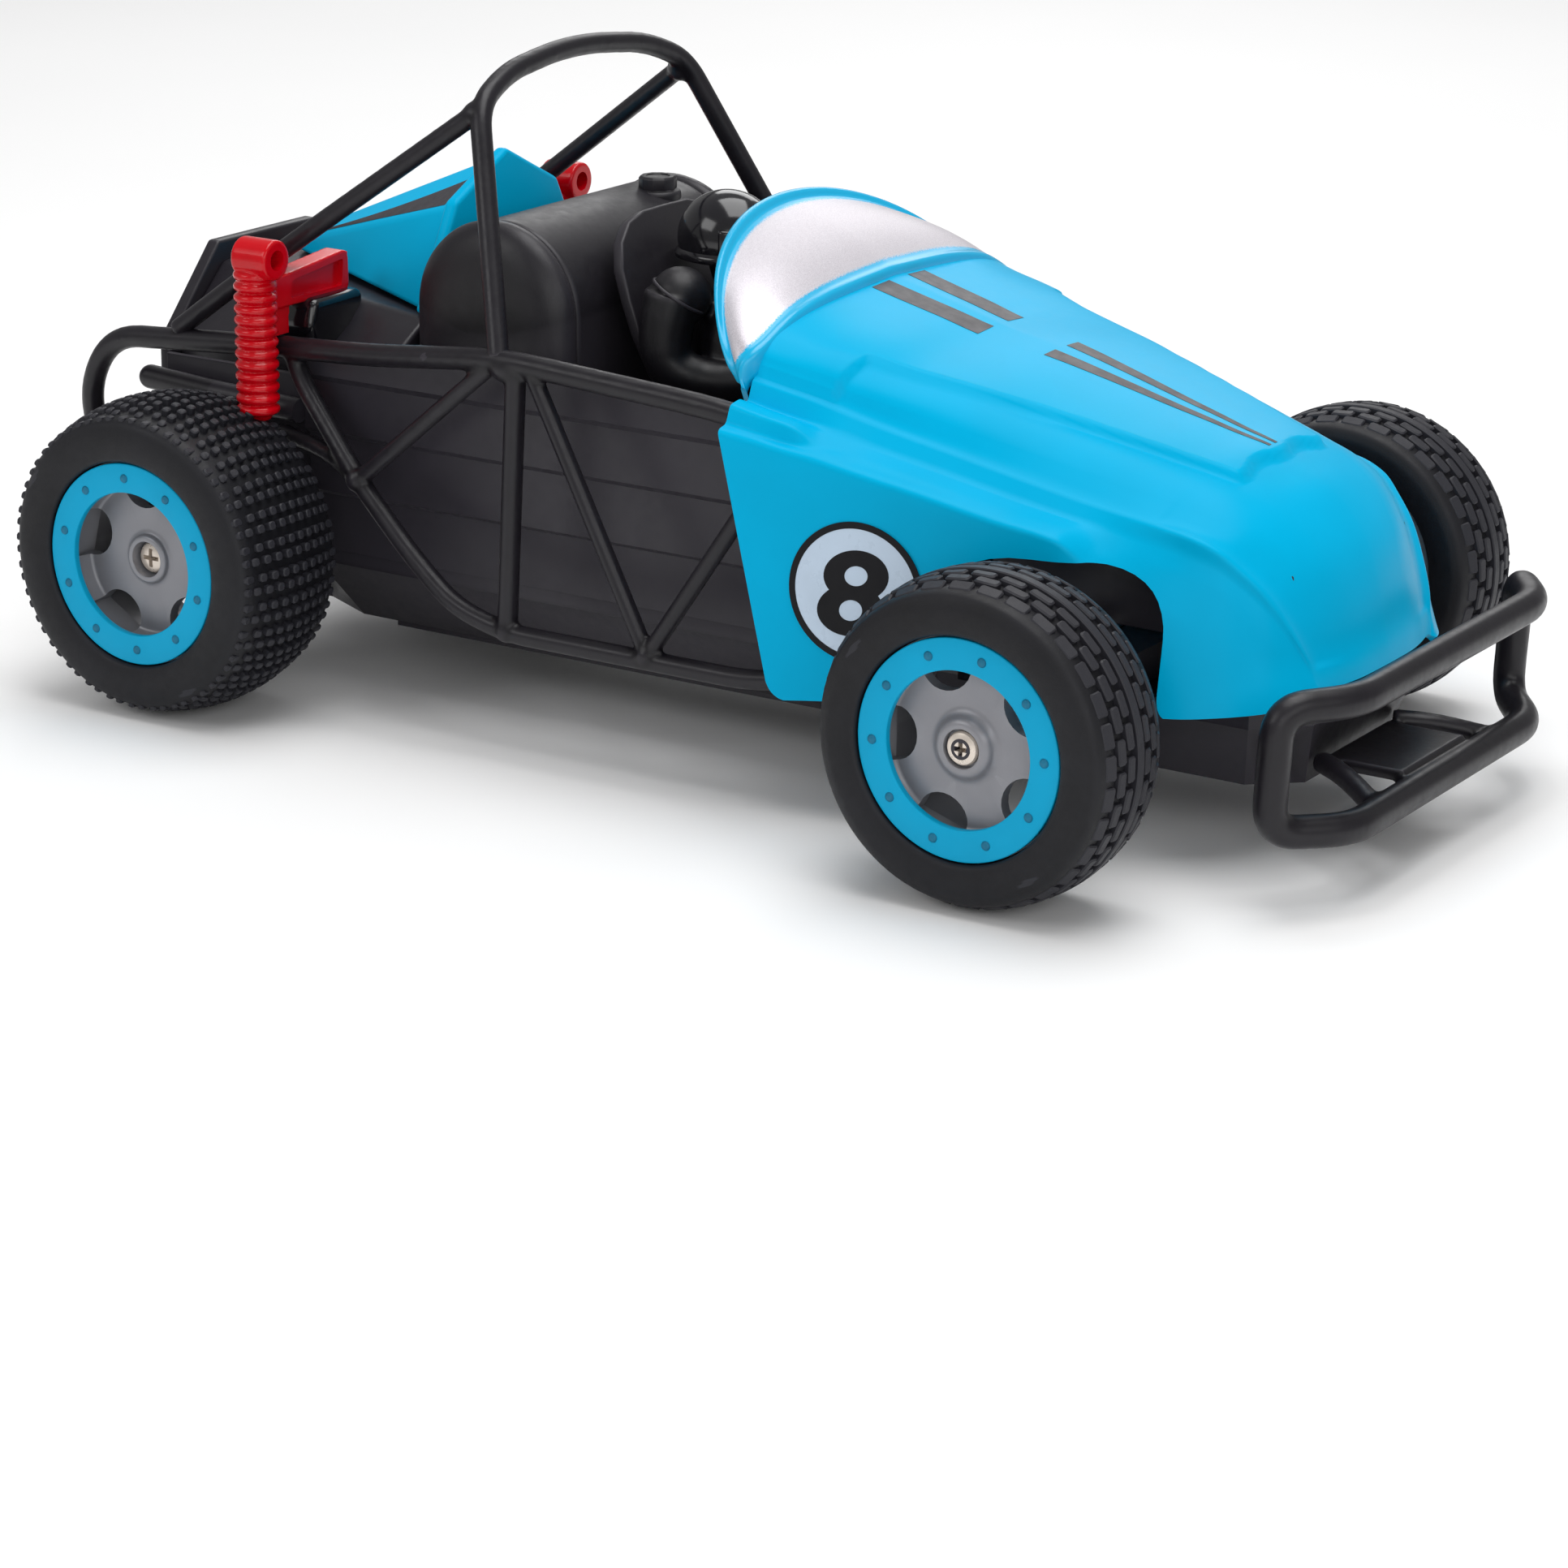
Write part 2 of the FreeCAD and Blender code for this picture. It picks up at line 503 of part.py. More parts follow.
def knuckle_shape():
    """The right steering knuckle: kingpin block, stub axle outboard and steering arm to the rear."""
    block = rod((WHEELBASE, -KING, 27.0), (WHEELBASE, -KING, 37.0), 4.2)
    block = block.fuse(box((WHEELBASE - 3.5, -66, 28.0), (WHEELBASE + 3.5, -KING, 36.0)))
    stub_end = -(size("front_track_half") + FRONT_SEAT)
    stub = rod((WHEELBASE, -66, WHEEL_Z), (WHEELBASE, stub_end, WHEEL_Z), size("axle_r"))
    arm = box((ARM_X, -KING - 2.2, 33.6), (WHEELBASE, -KING + 2.2, 36.0))
    arm = arm.fuse(rod((ARM_X, -KING, 33.6), (ARM_X, -KING, 36.0), 2.6))
    pin = rod((ARM_X, -KING, 36.0), (ARM_X, -KING, 39.4), size("tie_pin_r"))
    knuckle = fused([block, stub, arm, pin])
    knuckle = knuckle.cut(rod((WHEELBASE, -KING, 20), (WHEELBASE, -KING, 45), size("kingpin_bore_r")))
    return knuckle.cut(rod((WHEELBASE, stub_end - 1, WHEEL_Z), (WHEELBASE, stub_end + 8.0, WHEEL_Z), shank + 0.02))


side_pair("steering_knuckle", knuckle_shape())

tie = box((ARM_X - 3.6, -KING - 3.0, 36.4), (ARM_X + 3.6, KING + 3.0, 38.8))
for y in (-KING, 0.0, KING):
    half, reach = size("tie_slot_half"), size("tie_slot_reach")
    tie = tie.cut(box((ARM_X - reach, y - half, 30), (ARM_X + reach, y + half, 45)))
add_shape("tie_rod", tie)
SERVO_X = ARM_X - ARM
servo_arm = rod((SERVO_X, 0, 33.0), (SERVO_X, 0, 36.0), 4.0).fuse(rod((SERVO_X, 0, 29.4), (SERVO_X, 0, 33.0), 2.0))
servo_arm = servo_arm.fuse(box((SERVO_X, -2.2, 33.4), (ARM_X, 2.2, 36.0))).fuse(rod((ARM_X, 0, 33.4), (ARM_X, 0, 36.0), 2.4))
add_shape("servo_arm", servo_arm.fuse(rod((ARM_X, 0, 36.0), (ARM_X, 0, 39.4), size("tie_pin_r"))))
servo = box((SERVO_X - 8, -15, 15.4), (SERVO_X + 8, 9, 31.0)).fuse(rod((SERVO_X, 0, 31), (SERVO_X, 0, 32.6), 4.5))
add_shape("steering_servo", servo.cut(rod((SERVO_X, 0, 29.2), (SERVO_X, 0, 34), 2.06)))


# ---------------------------------------------------------------- tubular cage, hoop and bumper
RAIL_R, STRUT_R, HOOP_R, BEND = (size(n) for n in ("rail_r", "strut_r", "hoop_r", "tube_bend"))
CAGE_Y = -56.0
FOOT = (75.6, CAGE_Y, 82.0)
NODE_2 = (37.3, -53.0, 51.0)
V_BOTTOM = (111.5, CAGE_Y, 26.5)
POST_TOP = (79.8, CAGE_Y, 81.0)
LOW_Z = 25.5
RAIL = [(146.0, -54.5, 74.5), (132.0, CAGE_Y, 78.6), (76.0, CAGE_Y, 82.0), (39.0, -51.5, 77.2), (9.5, -47.0, 74.6), (-33.5, -46.5, 71.3),
        (-41.4, -46.0, 58.0), (-39.0, -40.0, 33.0), (-22.0, -24.5, 27.6)]
LOWER = [(148.0, CAGE_Y, LOW_Z + 2.5), (136.0, CAGE_Y, LOW_Z), (77.1, CAGE_Y, LOW_Z), (63.9, CAGE_Y, 29.0), (51.6, -54.6, 38.0), NODE_2,
         (19.7, -48.4, 68.3), (16.5, -47.8, 74.6)]
STRAIGHT = [(POST_TOP, (77.1, CAGE_Y, LOW_Z), 2.2), (FOOT, NODE_2, STRUT_R), ((83.6, CAGE_Y, 80.5), V_BOTTOM, STRUT_R),
            (V_BOTTOM, (136.0, CAGE_Y, 62.5), STRUT_R)]
STAY = [NODE_2, (27.8, -50.0, 54.8), (12.0, -46.2, 56.5)]
cage = [tube(RAIL, RAIL_R, 9.0), tube(LOWER, 2.1, BEND), tube(STAY, STRUT_R, BEND)]
cage += [rod(start, end, radius) for start, end, radius in STRAIGHT]
side_pair("side_cage", fused(cage))

HOOP = [FOOT, (57.6, -37.2, 128.3), (55.6, -25.0, 133.8), (54.4, 0.0, 136.9), (55.6, 25.0, 133.8),
        (57.6, 37.2, 128.3), (FOOT[0], -FOOT[1], FOOT[2])]
brace = tube([(57.4, -37.5, 127.0), (4.0, -45.4, 89.0), (-15.0, -47.0, 74.8)], 2.1, 30.0)
add_shape("roll_hoop", fused([tube(HOOP, HOOP_R, 6.0), brace, mirror_y(brace)]))

BUMPER_R = size("bumper_r")
corner_out, corner_in = (249.5, 54.0), (259.3, 40.3)
UPPER_Z, LOWER_Z = 39.0, 15.0
half_loop = [(corner_in[0], 0, UPPER_Z), (corner_in[0], corner_in[1], UPPER_Z), (corner_out[0], corner_out[1], UPPER_Z),
             (corner_out[0] - 1.0, corner_out[1], LOWER_Z), (corner_in[0], corner_in[1], LOWER_Z - 1.0),
             (corner_in[0], 0, LOWER_Z - 1.0)]
loop = tube(half_loop, BUMPER_R, 6.0, False)
struts = [tube([(258.0, y, LOWER_Z - 1.0), (248.0, y * 0.75, 17.0), (240.4, y * 0.6, 17.6)], 2.2, 6.0, False) for y in (-27, 27)]
skid = box((240.2, -14.0, 15.6), (257.0, 14.0, 18.0))
add_shape("front_bumper", fused([loop, mirror_y(loop), *struts, skid]))


# ---------------------------------------------------------------- body panels
def stepped_panel(z_low, z_high):
    """Section of the right cockpit side: a moulded wall whose face steps in at each rib."""
    outer = [(-38.4, z_low), (-40.2, 42.8), (-41.6, 43.8), (-42.0, 56.0), (-43.4, 57.2), (-43.6, 68.0),
             (-45.0, 69.4), (-44.6, z_high)]
    wall = size("panel_wall")
    inner = [(y + wall + 0.6, z) for y, z in reversed(outer)]
    return outer + inner


for name, side in SIDES.items():
    panel = new_body(f"side_panel_{name}")
    outline = [(-side * y, z) for y, z in stepped_panel(rim_z + 0.1, 76.0)]
    pad(panel, outline_sketch(panel, "YZ_Plane", outline, 16.0), 126.0)

floor = new_body("cockpit_floor")
floor_plate = [(44.0, -36.5), (146.0, -36.5), (146.0, 36.5), (44.0, 36.5)]
pad(floor, outline_sketch(floor, "XY_Plane", floor_plate, size("cockpit_floor_z")), 2.0)

deck = new_body("rear_deck")
DECK_BACK = mirrored([(0, 84.6), (16.0, 83.0), (31.0, 69.0), (31.0, 60.0), (0, 60.0)])
DECK_FRONT = mirrored([(0, 81.2), (29.5, 80.9), (40.8, 74.8), (39.5, 66.0), (0, 66.0)])
BACK_HOLLOW = mirrored([(0, 82.4), (15.2, 80.8), (28.8, 68.0), (28.8, 58.0), (0, 58.0)])
FRONT_HOLLOW = mirrored([(0, 79.0), (28.8, 78.7), (38.4, 73.4), (37.3, 64.0), (0, 64.0)])
DECK_END, SHOCK_X, SHOCK_Y = 37.8, 14.0, 54.4
loft(deck, [outline_sketch(deck, "YZ_Plane", DECK_BACK, -28.0), outline_sketch(deck, "YZ_Plane", DECK_FRONT, DECK_END)])
for side in SIDES.values():
    boss = [(side * 41.5, 73.5), (side * 41.5, 83.8), (side * 25.0, 83.8), (side * 25.0, 76.0), (side * 36.0, 73.5)]
    pad(deck, outline_sketch(deck, "YZ_Plane", boss, SHOCK_X - 5.0), 10.0)
loft(deck, [outline_sketch(deck, "YZ_Plane", BACK_HOLLOW, -26.0),
            outline_sketch(deck, "YZ_Plane", FRONT_HOLLOW, DECK_END)], "SubtractiveLoft")

TAIL_FACE = mirrored([(0, 87.4), (16.8, 87.4), (34.0, 68.5), (34.0, 56.0), (0, 56.0)])
pad(deck, outline_sketch(deck, "YZ_Plane", TAIL_FACE, -31.1), 3.2)

cowl = new_body("tail_cowl")
NOSE = mirrored([(0, 88.2), (1.8, 87.2), (2.4, 84.3), (0, 84.3)])
FACE = mirrored([(0, 112.3), (18.3, 103.3), (29.6, 81.5), (0, 81.5)])
NOSE_IN = mirrored([(0, 86.8), (0.9, 86.2), (1.2, 83.0), (0, 83.0)])
FACE_IN = mirrored([(0, 110.4), (16.9, 102.2), (27.4, 80.0), (0, 80.0)])
COWL_BACK, COWL_FACE = -18.0, 36.0
loft(cowl, [outline_sketch(cowl, "YZ_Plane", NOSE, COWL_BACK), outline_sketch(cowl, "YZ_Plane", FACE, COWL_FACE)])
pad(cowl, outline_sketch(cowl, "YZ_Plane", FACE, COWL_FACE), 1.6)
loft(cowl, [outline_sketch(cowl, "YZ_Plane", NOSE_IN, COWL_BACK + 4.0),
            outline_sketch(cowl, "YZ_Plane", FACE_IN, COWL_FACE)], "SubtractiveLoft")

pipe = tube([(-25.5, -43.5, 62.6), (-8.0, -44.3, 61.8), (15.8, -44.6, 61.0)], 2.6, 60.0, False)
pipe = pipe.fuse(Part.makeSphere(2.6, Vector(-25.5, -43.5, 62.6)))
add_shape("exhaust_pipes", both_sides(pipe))


# ---------------------------------------------------------------- shock absorbers
def make_shock(name, side):
    """A moulded shock: ringed body, cross eye on top, and an arm reaching inboard over the deck's boss."""
    shock = new_body(f"shock_{name}", Placement(Vector(REAR_X + SHOCK_X, side * SHOCK_Y, 0), Rotation()))
    ring_r, core_r, pitch = size("shock_r"), size("shock_r") - 0.9, size("shock_pitch")
    foot, first = 65.4, 67.0
    points = [(0, foot), (2.4, foot), (2.4, first)]
    for ring in range(int(size("shock_rings"))):
        z = first + ring * pitch
        points += [(core_r, z + 0.2), (ring_r, z + 0.7), (ring_r, z + 1.5), (core_r, z + 2.0)]
    points += [(core_r, 93.0), (0, 93.0)]
    revolve(shock, outline_sketch(shock, "XZ_Plane", points))
    pad(shock, circle_sketch(shock, "YZ_Plane", 4.1, (0, 94.8)), 9.0, midplane=True)
    inboard = -side
    arm = [(0, 84.0), (inboard * 28.0, 84.0), (inboard * 28.0, 91.5), (0, 90.0)]
    pad(shock, outline_sketch(shock, "YZ_Plane", arm), 5.0, midplane=True)
    tab = [(inboard * 3.0, 79.0), (inboard * 9.0, 79.0), (inboard * 9.0, 84.0), (inboard * 3.0, 84.0)]
    pad(shock, outline_sketch(shock, "YZ_Plane", tab), 3.0, midplane=True)
    pocket(shock, circle_sketch(shock, "YZ_Plane", 1.7, (0, 94.8)), 20.0, midplane=True)
    recess = [(inboard * 9.0, 85.4), (inboard * 26.0, 85.6), (inboard * 26.0, 90.0), (inboard * 9.0, 88.9)]
    pocket(shock, outline_sketch(shock, "YZ_Plane", recess, 4.0), 2.8)


for name, side in SIDES.items():
    make_shock(name, side)


# ---------------------------------------------------------------- cockpit
TANK_X, TANK_Z, TANK_R, TANK_HALF = (size(n) for n in ("tank_x", "tank_z", "tank_r", "tank_half"))
SEAT_FLOOR = size("cockpit_floor_z") + 2.0


def drum_outline(radius, z_low):
    """Tank section: a round top on straight sides, in car x and z."""
    arc = [(TANK_X + radius * math.cos(math.pi * i / 16), TANK_Z + radius * math.sin(math.pi * i / 16))
           for i in range(17)]
    return arc + [(TANK_X - radius, z_low), (TANK_X + radius, z_low)]


tank = new_body("fuel_tank")
pad(tank, outline_sketch(tank, "XZ_Plane", drum_outline(TANK_R, SEAT_FLOOR + 0.1)), 2 * TANK_HALF, midplane=True,
    expression="2 * dims.tank_half")
pocket(tank, outline_sketch(tank, "XZ_Plane", drum_outline(TANK_R - 2.0, SEAT_FLOOR - 5.0)), 2 * TANK_HALF - 4.0,
       midplane=True)
caps = []
for side in SIDES.values():
    inner, outer = TANK_HALF + 0.1, TANK_HALF + size("tank_cap_len")
    wires = []
    for y, shrink in ((inner, 0.0), (inner + 3.0, 0.6), (outer - 1.5, 3.4), (outer, 6.5)):
        corners = [Vector(x, side * y, z) for x, z in drum_outline(TANK_R - shrink, SEAT_FLOOR + 0.1)]
        wires.append(Part.makePolygon(corners + corners[:1]))
    caps.append(Part.makeLoft(wires, True, True))
add_shape("tank_end_caps", Part.makeCompound(caps))

CAP_Y = 20.0
filler = new_body("filler_cap", Placement(Vector(REAR_X + 61.0, CAP_Y, TANK_Z + TANK_R - 0.1), Rotation()))
filler_profile = [(0, 0.1), (5.2, 0.1), (5.2, 1.2), (4.1, 1.5), (4.1, 3.5), (3.6, 4.0), (2.4, 4.0), (2.4, 3.6), (0, 3.6)]
revolve(filler, outline_sketch(filler, "XZ_Plane", filler_profile))

SEAT_TILT = Rotation(Vector(0, 1, 0), -20)
SEAT_SPOT = Vector(96.6, 0, SEAT_FLOOR + 1.2)
seat = new_body("driver_seat", Placement(SEAT_SPOT + TO_CAR.Base, SEAT_TILT))
shield = [(0, 55.0), (12.0, 54.2), (18.0, 50.5), (21.5, 42.0), (21.5, 34.0), (19.0, 22.0), (15.0, 14.0), (15.0, 0), (0, 0)]
pad(seat, outline_sketch(seat, "YZ_Plane", mirrored(shield), -2.6), 2.6)
base = [(0.0, -0.4), (26.0, 9.0), (24.0, 14.0), (-2.6, 4.4)]
pad(seat, outline_sketch(seat, "XZ_Plane", base), 29.0, midplane=True)

torso = Part.makeSphere(1.0)
stretch = FreeCAD.Matrix()
stretch.scale(Vector(10.0, 16.5, 16.4))
torso = torso.transformGeometry(stretch)
torso.translate(Vector(99.0, 0, 79.5))
legs = [tube([(102, y * 0.45, 66.5), (122, y * 0.6, 70), (136, y * 0.6, 60.5)], 5.0, 10.0) for y in (-18, 18)]
arms = [tube([(97.0, y, 89.5), (104.0, y * 1.35, 78.5), (117.0, y * 0.75, 77.5)], 4.6, 7.0) for y in (-17, 17)]
neck = rod((95.5, 0, 88), (93.1, 0, 94.2), 4.4)
room_corners = [Vector(x, -40, z) for x, z in ((0.2, 5.7), (26.3, 15.1), (26.3, -30), (80, -30), (80, 90), (0.2, 90))]
room = Part.Face(Part.makePolygon(room_corners + room_corners[:1])).extrude(Vector(0, 80, 0))
room.Placement = Placement(SEAT_SPOT, SEAT_TILT)
add_shape("driver_figure", fused([torso, neck, *legs, *arms]).common(room))

helmet = new_body("driver_helmet", Placement(Vector(REAR_X + 92.6, 0, 99.4), Rotation()))
dome = [(0, 9.4)] + [(9.6 * math.sin(a), 9.4 * math.cos(a)) for a in (math.radians(15 * i) for i in range(1, 8))]
dome += [(9.2, -3.3), (6.4, -3.3), (6.4, -3.1), (0, -3.1)]
revolve(helmet, outline_sketch(helmet, "XZ_Plane", dome))

WHEEL_TILT = Rotation(Vector(0, 1, 0), -62)
hand_wheel = fused([Part.makeTorus(9.0, 1.2), box((-9, -1.2, -0.8), (9, 1.2, 0.8)), box((-1.2, -9, -0.8), (1.2, 9, 0.8)),
                    Part.makeCylinder(2.0, 14.0, Vector(0, 0, -14.0))])
add_shape("steering_wheel", hand_wheel, Placement(Vector(REAR_X + 123.5, 0, 80.5), WHEEL_TILT))


# ---------------------------------------------------------------- front body shell
WALL = size("shell_wall")
HALF = size("shell_half")
SHELL_BACK = 132.0
SIDE_SLOPE = 0.1466   # how fast the side panels draw in towards the nose


def side_y(x):
    return HALF - SIDE_SLOPE * (x - SHELL_BACK)


# Each station: x, then the half-section from the centre line to the lower edge as (y, z):
# spine, hood edge, belt crease, ledge, top and foot of the side panel.
STATIONS = [
    (SHELL_BACK, [(0, 97.0), (46.5, 90.0), (50.2, 84.3), (57.5, 81.0), (side_y(132), 76.2), (side_y(132), 23.0)]),
    (146.0, [(0, 93.2), (44.5, 86.8), (47.5, 80.8), (56.0, 79.0), (side_y(146), 73.8), (side_y(146), 24.5)]),
    (152.0, [(0, 91.7), (42.4, 85.7), (46.3, 79.2), (49.0, 76.2), (side_y(152), 72.8), (side_y(152), 25.2)]),
    (190.0, [(0, 82.0), (32.9, 77.9), (41.3, 70.0), (43.8, 67.0), (side_y(190), 64.7), (side_y(190), 28.5)]),
    (204.0, [(0, 78.1), (29.9, 74.3), (39.0, 66.8), (41.4, 63.8), (side_y(204), 62.0), (side_y(204), 29.8)]),
    (216.0, [(0, 74.8), (27.2, 70.9), (37.3, 64.5), (39.2, 62.0), (44.5, 54.0), (side_y(216), 30.8)]),
    (230.0, [(0, 68.6), (23.5, 66.0), (34.4, 58.9), (36.0, 55.0), (39.0, 46.0), (44.2, 31.4)]),
    (239.0, [(0, 59.6), (19.0, 57.0), (28.8, 48.0), (30.4, 45.0), (33.4, 39.0), (36.8, 32.0)]),
    (244.0, [(0, 46.5), (13.0, 45.0), (22.6, 37.6), (24.2, 36.0), (25.2, 34.6), (26.2, 33.0)]),
    (246.9, [(0, 35.6), (4.0, 35.5), (7.0, 35.2), (8.0, 34.9), (9.0, 34.4), (9.6, 33.8)]),
]


def shell_section(points):
    return mirrored(points + [(0, points[-1][1])])


def shell_hollow(points):
    (_, z0), (y1, z1), (y2, z2), (y3, z3), (y4, z4), (y5, z5) = points
    return mirrored([(0, z0 - WALL), (y1 - 0.6 * WALL, z1 - WALL), (y2 - WALL, z2 - WALL), (y3 - WALL, z3 - WALL),
                     (y4 - WALL, z4 - 0.4), (y5 - WALL, z5 - 6.0), (0, z5 - 6.0)])


shell = new_body("body_shell")
loft(shell, [outline_sketch(shell, "YZ_Plane", shell_section(points), x) for x, points in STATIONS])
inner_stations = [(x - (1.6 if x > 243 else 0.0), points) for x, points in STATIONS]
loft(shell, [outline_sketch(shell, "YZ_Plane", shell_hollow(points), x) for x, points in inner_stations],
     "SubtractiveLoft")
ARCH = dict(back=172.5, front=222.5, top=59.5, corner=13.0)


def arch_outline():
    """The wheel arch: straight feet, a flat top and quarter-round shoulders."""
    points = [(ARCH["back"], 10.0)]
    for centre, start in ((ARCH["back"] + ARCH["corner"], 180), (ARCH["front"] - ARCH["corner"], 90)):
        for step in range(7):
            a = math.radians(start - 15 * step)
            points.append((centre + ARCH["corner"] * math.cos(a), ARCH["top"] + ARCH["corner"] * (math.sin(a) - 1)))
    return points + [(ARCH["front"], 10.0)]


pocket(shell, outline_sketch(shell, "XZ_Plane", arch_outline()), 160.0, midplane=True)
rear_edge = [(120.0, 82.7), (133.0, 82.7), (143.0, 10.0), (120.0, 10.0)]
pocket(shell, outline_sketch(shell, "XZ_Plane", rear_edge), 160.0, midplane=True)

RIM = [(0, 110.1), (14.5, 109.0), (29.1, 105.0), (38.3, 100.0), (46.2, 92.0), (50.6, 83.0)]
BASE = [(0, 97.8), (22.5, 96.6), (36.5, 94.2), (44.5, 90.8), (49.0, 87.0), (51.0, 83.6)]
RIM_LEAN, RIM_FOOT = 0.86, 105.2


def screen_curve(points, x_of_z, inset):
    half = [Vector(x_of_z(z), max(y - inset, 0), z - (inset if y < 45 else 0)) for y, z in points]
    other = [Vector(p.x, -p.y, p.z) for p in reversed(half[1:])]
    curve = Part.BSplineCurve()
    curve.interpolate(other + half)
    return curve.toShape()


def rim_x(z):
    return RIM_FOOT + RIM_LEAN * (111.6 - z)


def base_x(z):
    return SHELL_BACK + 0.2


rim_out, rim_in = screen_curve(RIM, rim_x, 0.0), screen_curve(RIM, rim_x, WALL)
base_out, base_in = screen_curve(BASE, base_x, 0.0), screen_curve(BASE, base_x, WALL)
faces = [Part.makeRuledSurface(a, b) for a, b in ((rim_out, base_out), (rim_in, base_in), (rim_out, rim_in),
                                                  (base_out, base_in))]
for pick in (0, -1):
    ring_points = [edge.Vertexes[pick].Point for edge in (rim_out, base_out, base_in, rim_in)]
    for a, b, c in ((0, 1, 2), (0, 2, 3)):
        faces.append(Part.Face(Part.makePolygon([ring_points[a], ring_points[b], ring_points[c], ring_points[a]])))
skin = Part.makeShell(faces)
skin.sewShape()
screen = Part.makeSolid(Part.Shell(skin.Faces))
if screen.Volume < 0:
    screen.reverse()
add_shape("windscreen", screen)

STICKER_X, STICKER_Z, STICKER_R = 157.5, 47.6, 12.3
lean = math.atan(SIDE_SLOPE)
outward = Vector(math.sin(lean), -math.cos(lean), 0)
on_panel = Vector(STICKER_X, -side_y(STICKER_X), STICKER_Z)
sticker = rod(on_panel + outward * 0.02, on_panel + outward * 0.27, STICKER_R)
add_shape("number_stickers", both_sides(sticker))


# ---------------------------------------------------------------- checks and export
doc.recompute()
failed = [o.Name for o in doc.Objects if "Invalid" in o.State or "Error" in o.State]
if failed:
    raise RuntimeError(f"objects left failed: {failed}")
os.makedirs("parts", exist_ok=True)
whole = FreeCAD.BoundBox()
for part in parts:
    if part.Shape.isNull() or not part.Shape.isValid():
        raise RuntimeError(f"{part.Label} has no valid shape")
    whole.add(part.Shape.BoundBox)
    part.Shape.exportStep(f"parts/{part.Label}.step")
print(f"{len(parts)} sub-parts, x {whole.XMin:.2f} to {whole.XMax:.2f}, y {whole.YMin:.2f} to {whole.YMax:.2f}, "
      f"z {whole.ZMin:.2f} to {whole.ZMax:.2f}")
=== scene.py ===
import json
import math

import bmesh
import bpy
from mathutils import Matrix, Vector
from mathutils.bvhtree import BVHTree


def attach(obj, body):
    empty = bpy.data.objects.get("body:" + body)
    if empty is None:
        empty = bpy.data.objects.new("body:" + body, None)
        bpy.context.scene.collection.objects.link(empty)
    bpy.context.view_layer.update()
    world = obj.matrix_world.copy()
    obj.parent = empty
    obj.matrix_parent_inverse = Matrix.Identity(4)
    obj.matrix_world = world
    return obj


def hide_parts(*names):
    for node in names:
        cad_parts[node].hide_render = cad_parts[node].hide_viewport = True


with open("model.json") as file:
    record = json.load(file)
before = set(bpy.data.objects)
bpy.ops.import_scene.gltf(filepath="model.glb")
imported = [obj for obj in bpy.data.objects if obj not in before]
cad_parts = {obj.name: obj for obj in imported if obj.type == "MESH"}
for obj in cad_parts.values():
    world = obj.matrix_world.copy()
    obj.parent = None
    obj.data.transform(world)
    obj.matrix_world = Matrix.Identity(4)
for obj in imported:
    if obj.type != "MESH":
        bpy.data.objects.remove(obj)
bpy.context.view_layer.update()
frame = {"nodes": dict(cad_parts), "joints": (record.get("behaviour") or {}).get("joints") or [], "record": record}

# A remote control race car. Shapes are written in millimetres: x forward from the rear axle, y to the car's left,
# z up from the ground. Wheel pieces are written about their own axle, with local z pointing outboard.
MM = 0.001
JOINTS = {joint["name"]: joint for joint in frame["joints"]}
REAR_X = JOINTS["rear_wheels_spin"]["pos_m"][0]
FRONT_X = JOINTS["front_right_wheel_spin"]["pos_m"][0]
SIDES = {"right": -1, "left": 1}


# ---------------------------------------------------------------- small geometry helpers
def to_car(point):
    return Vector((REAR_X + point[0] * MM, point[1] * MM, point[2] * MM))


def lerp(a, b, t):
    return a + (b - a) * t


def smoothstep(low, high, value):
    t = min(max((value - low) / (high - low), 0.0), 1.0)
    return t * t * (3 - 2 * t)


def rounded(points, cuts, steps=4, closed=False):
    """The polyline with each corner replaced by a smooth bend that starts cuts[i] before it."""
    points = [Vector(p) for p in points]
    if not isinstance(cuts, (list, tuple)):
        cuts = [cuts] * len(points)
    count = len(points)
    result = []
    for i, corner in enumerate(points):
        if not closed and i in (0, count - 1):
            result.append(corner.copy())
            continue
        before, after = points[i - 1], points[(i + 1) % count]
        if cuts[i] <= 0:
            result.append(corner.copy())
            continue
        to_before, to_after = before - corner, after - corner
        start = corner + to_before * min(cuts[i] / max(to_before.length, 1e-9), 0.49)
        end = corner + to_after * min(cuts[i] / max(to_after.length, 1e-9), 0.49)
        for k in range(steps + 1):
            t = k / steps
            result.append(start * (1 - t) ** 2 + corner * 2 * t * (1 - t) + end * t * t)
    return result


def rounded_outline(points, cuts, steps=4, closed=False):
    """The same for an outline of (u, v) points."""
    return [(p.x, p.y) for p in rounded([(u, v, 0) for u, v in points], cuts, steps, closed)]


def smooth_path(points, steps=6):
    """A Catmull-Rom curve through the points."""
    points = [Vector(p) for p in points]
    padded = [points[0] * 2 - points[1]] + points + [points[-1] * 2 - points[-2]]
    result = []
    for a, b, c, d in zip(padded, padded[1:], padded[2:], padded[3:]):
        for k in range(steps):
            t = k / steps
            result.append(0.5 * (2 * b + (c - a) * t + (2 * a - 5 * b + 4 * c - d) * t * t
                                 + (3 * b - a - 3 * c + d) * t ** 3))
    return result + [points[-1]]


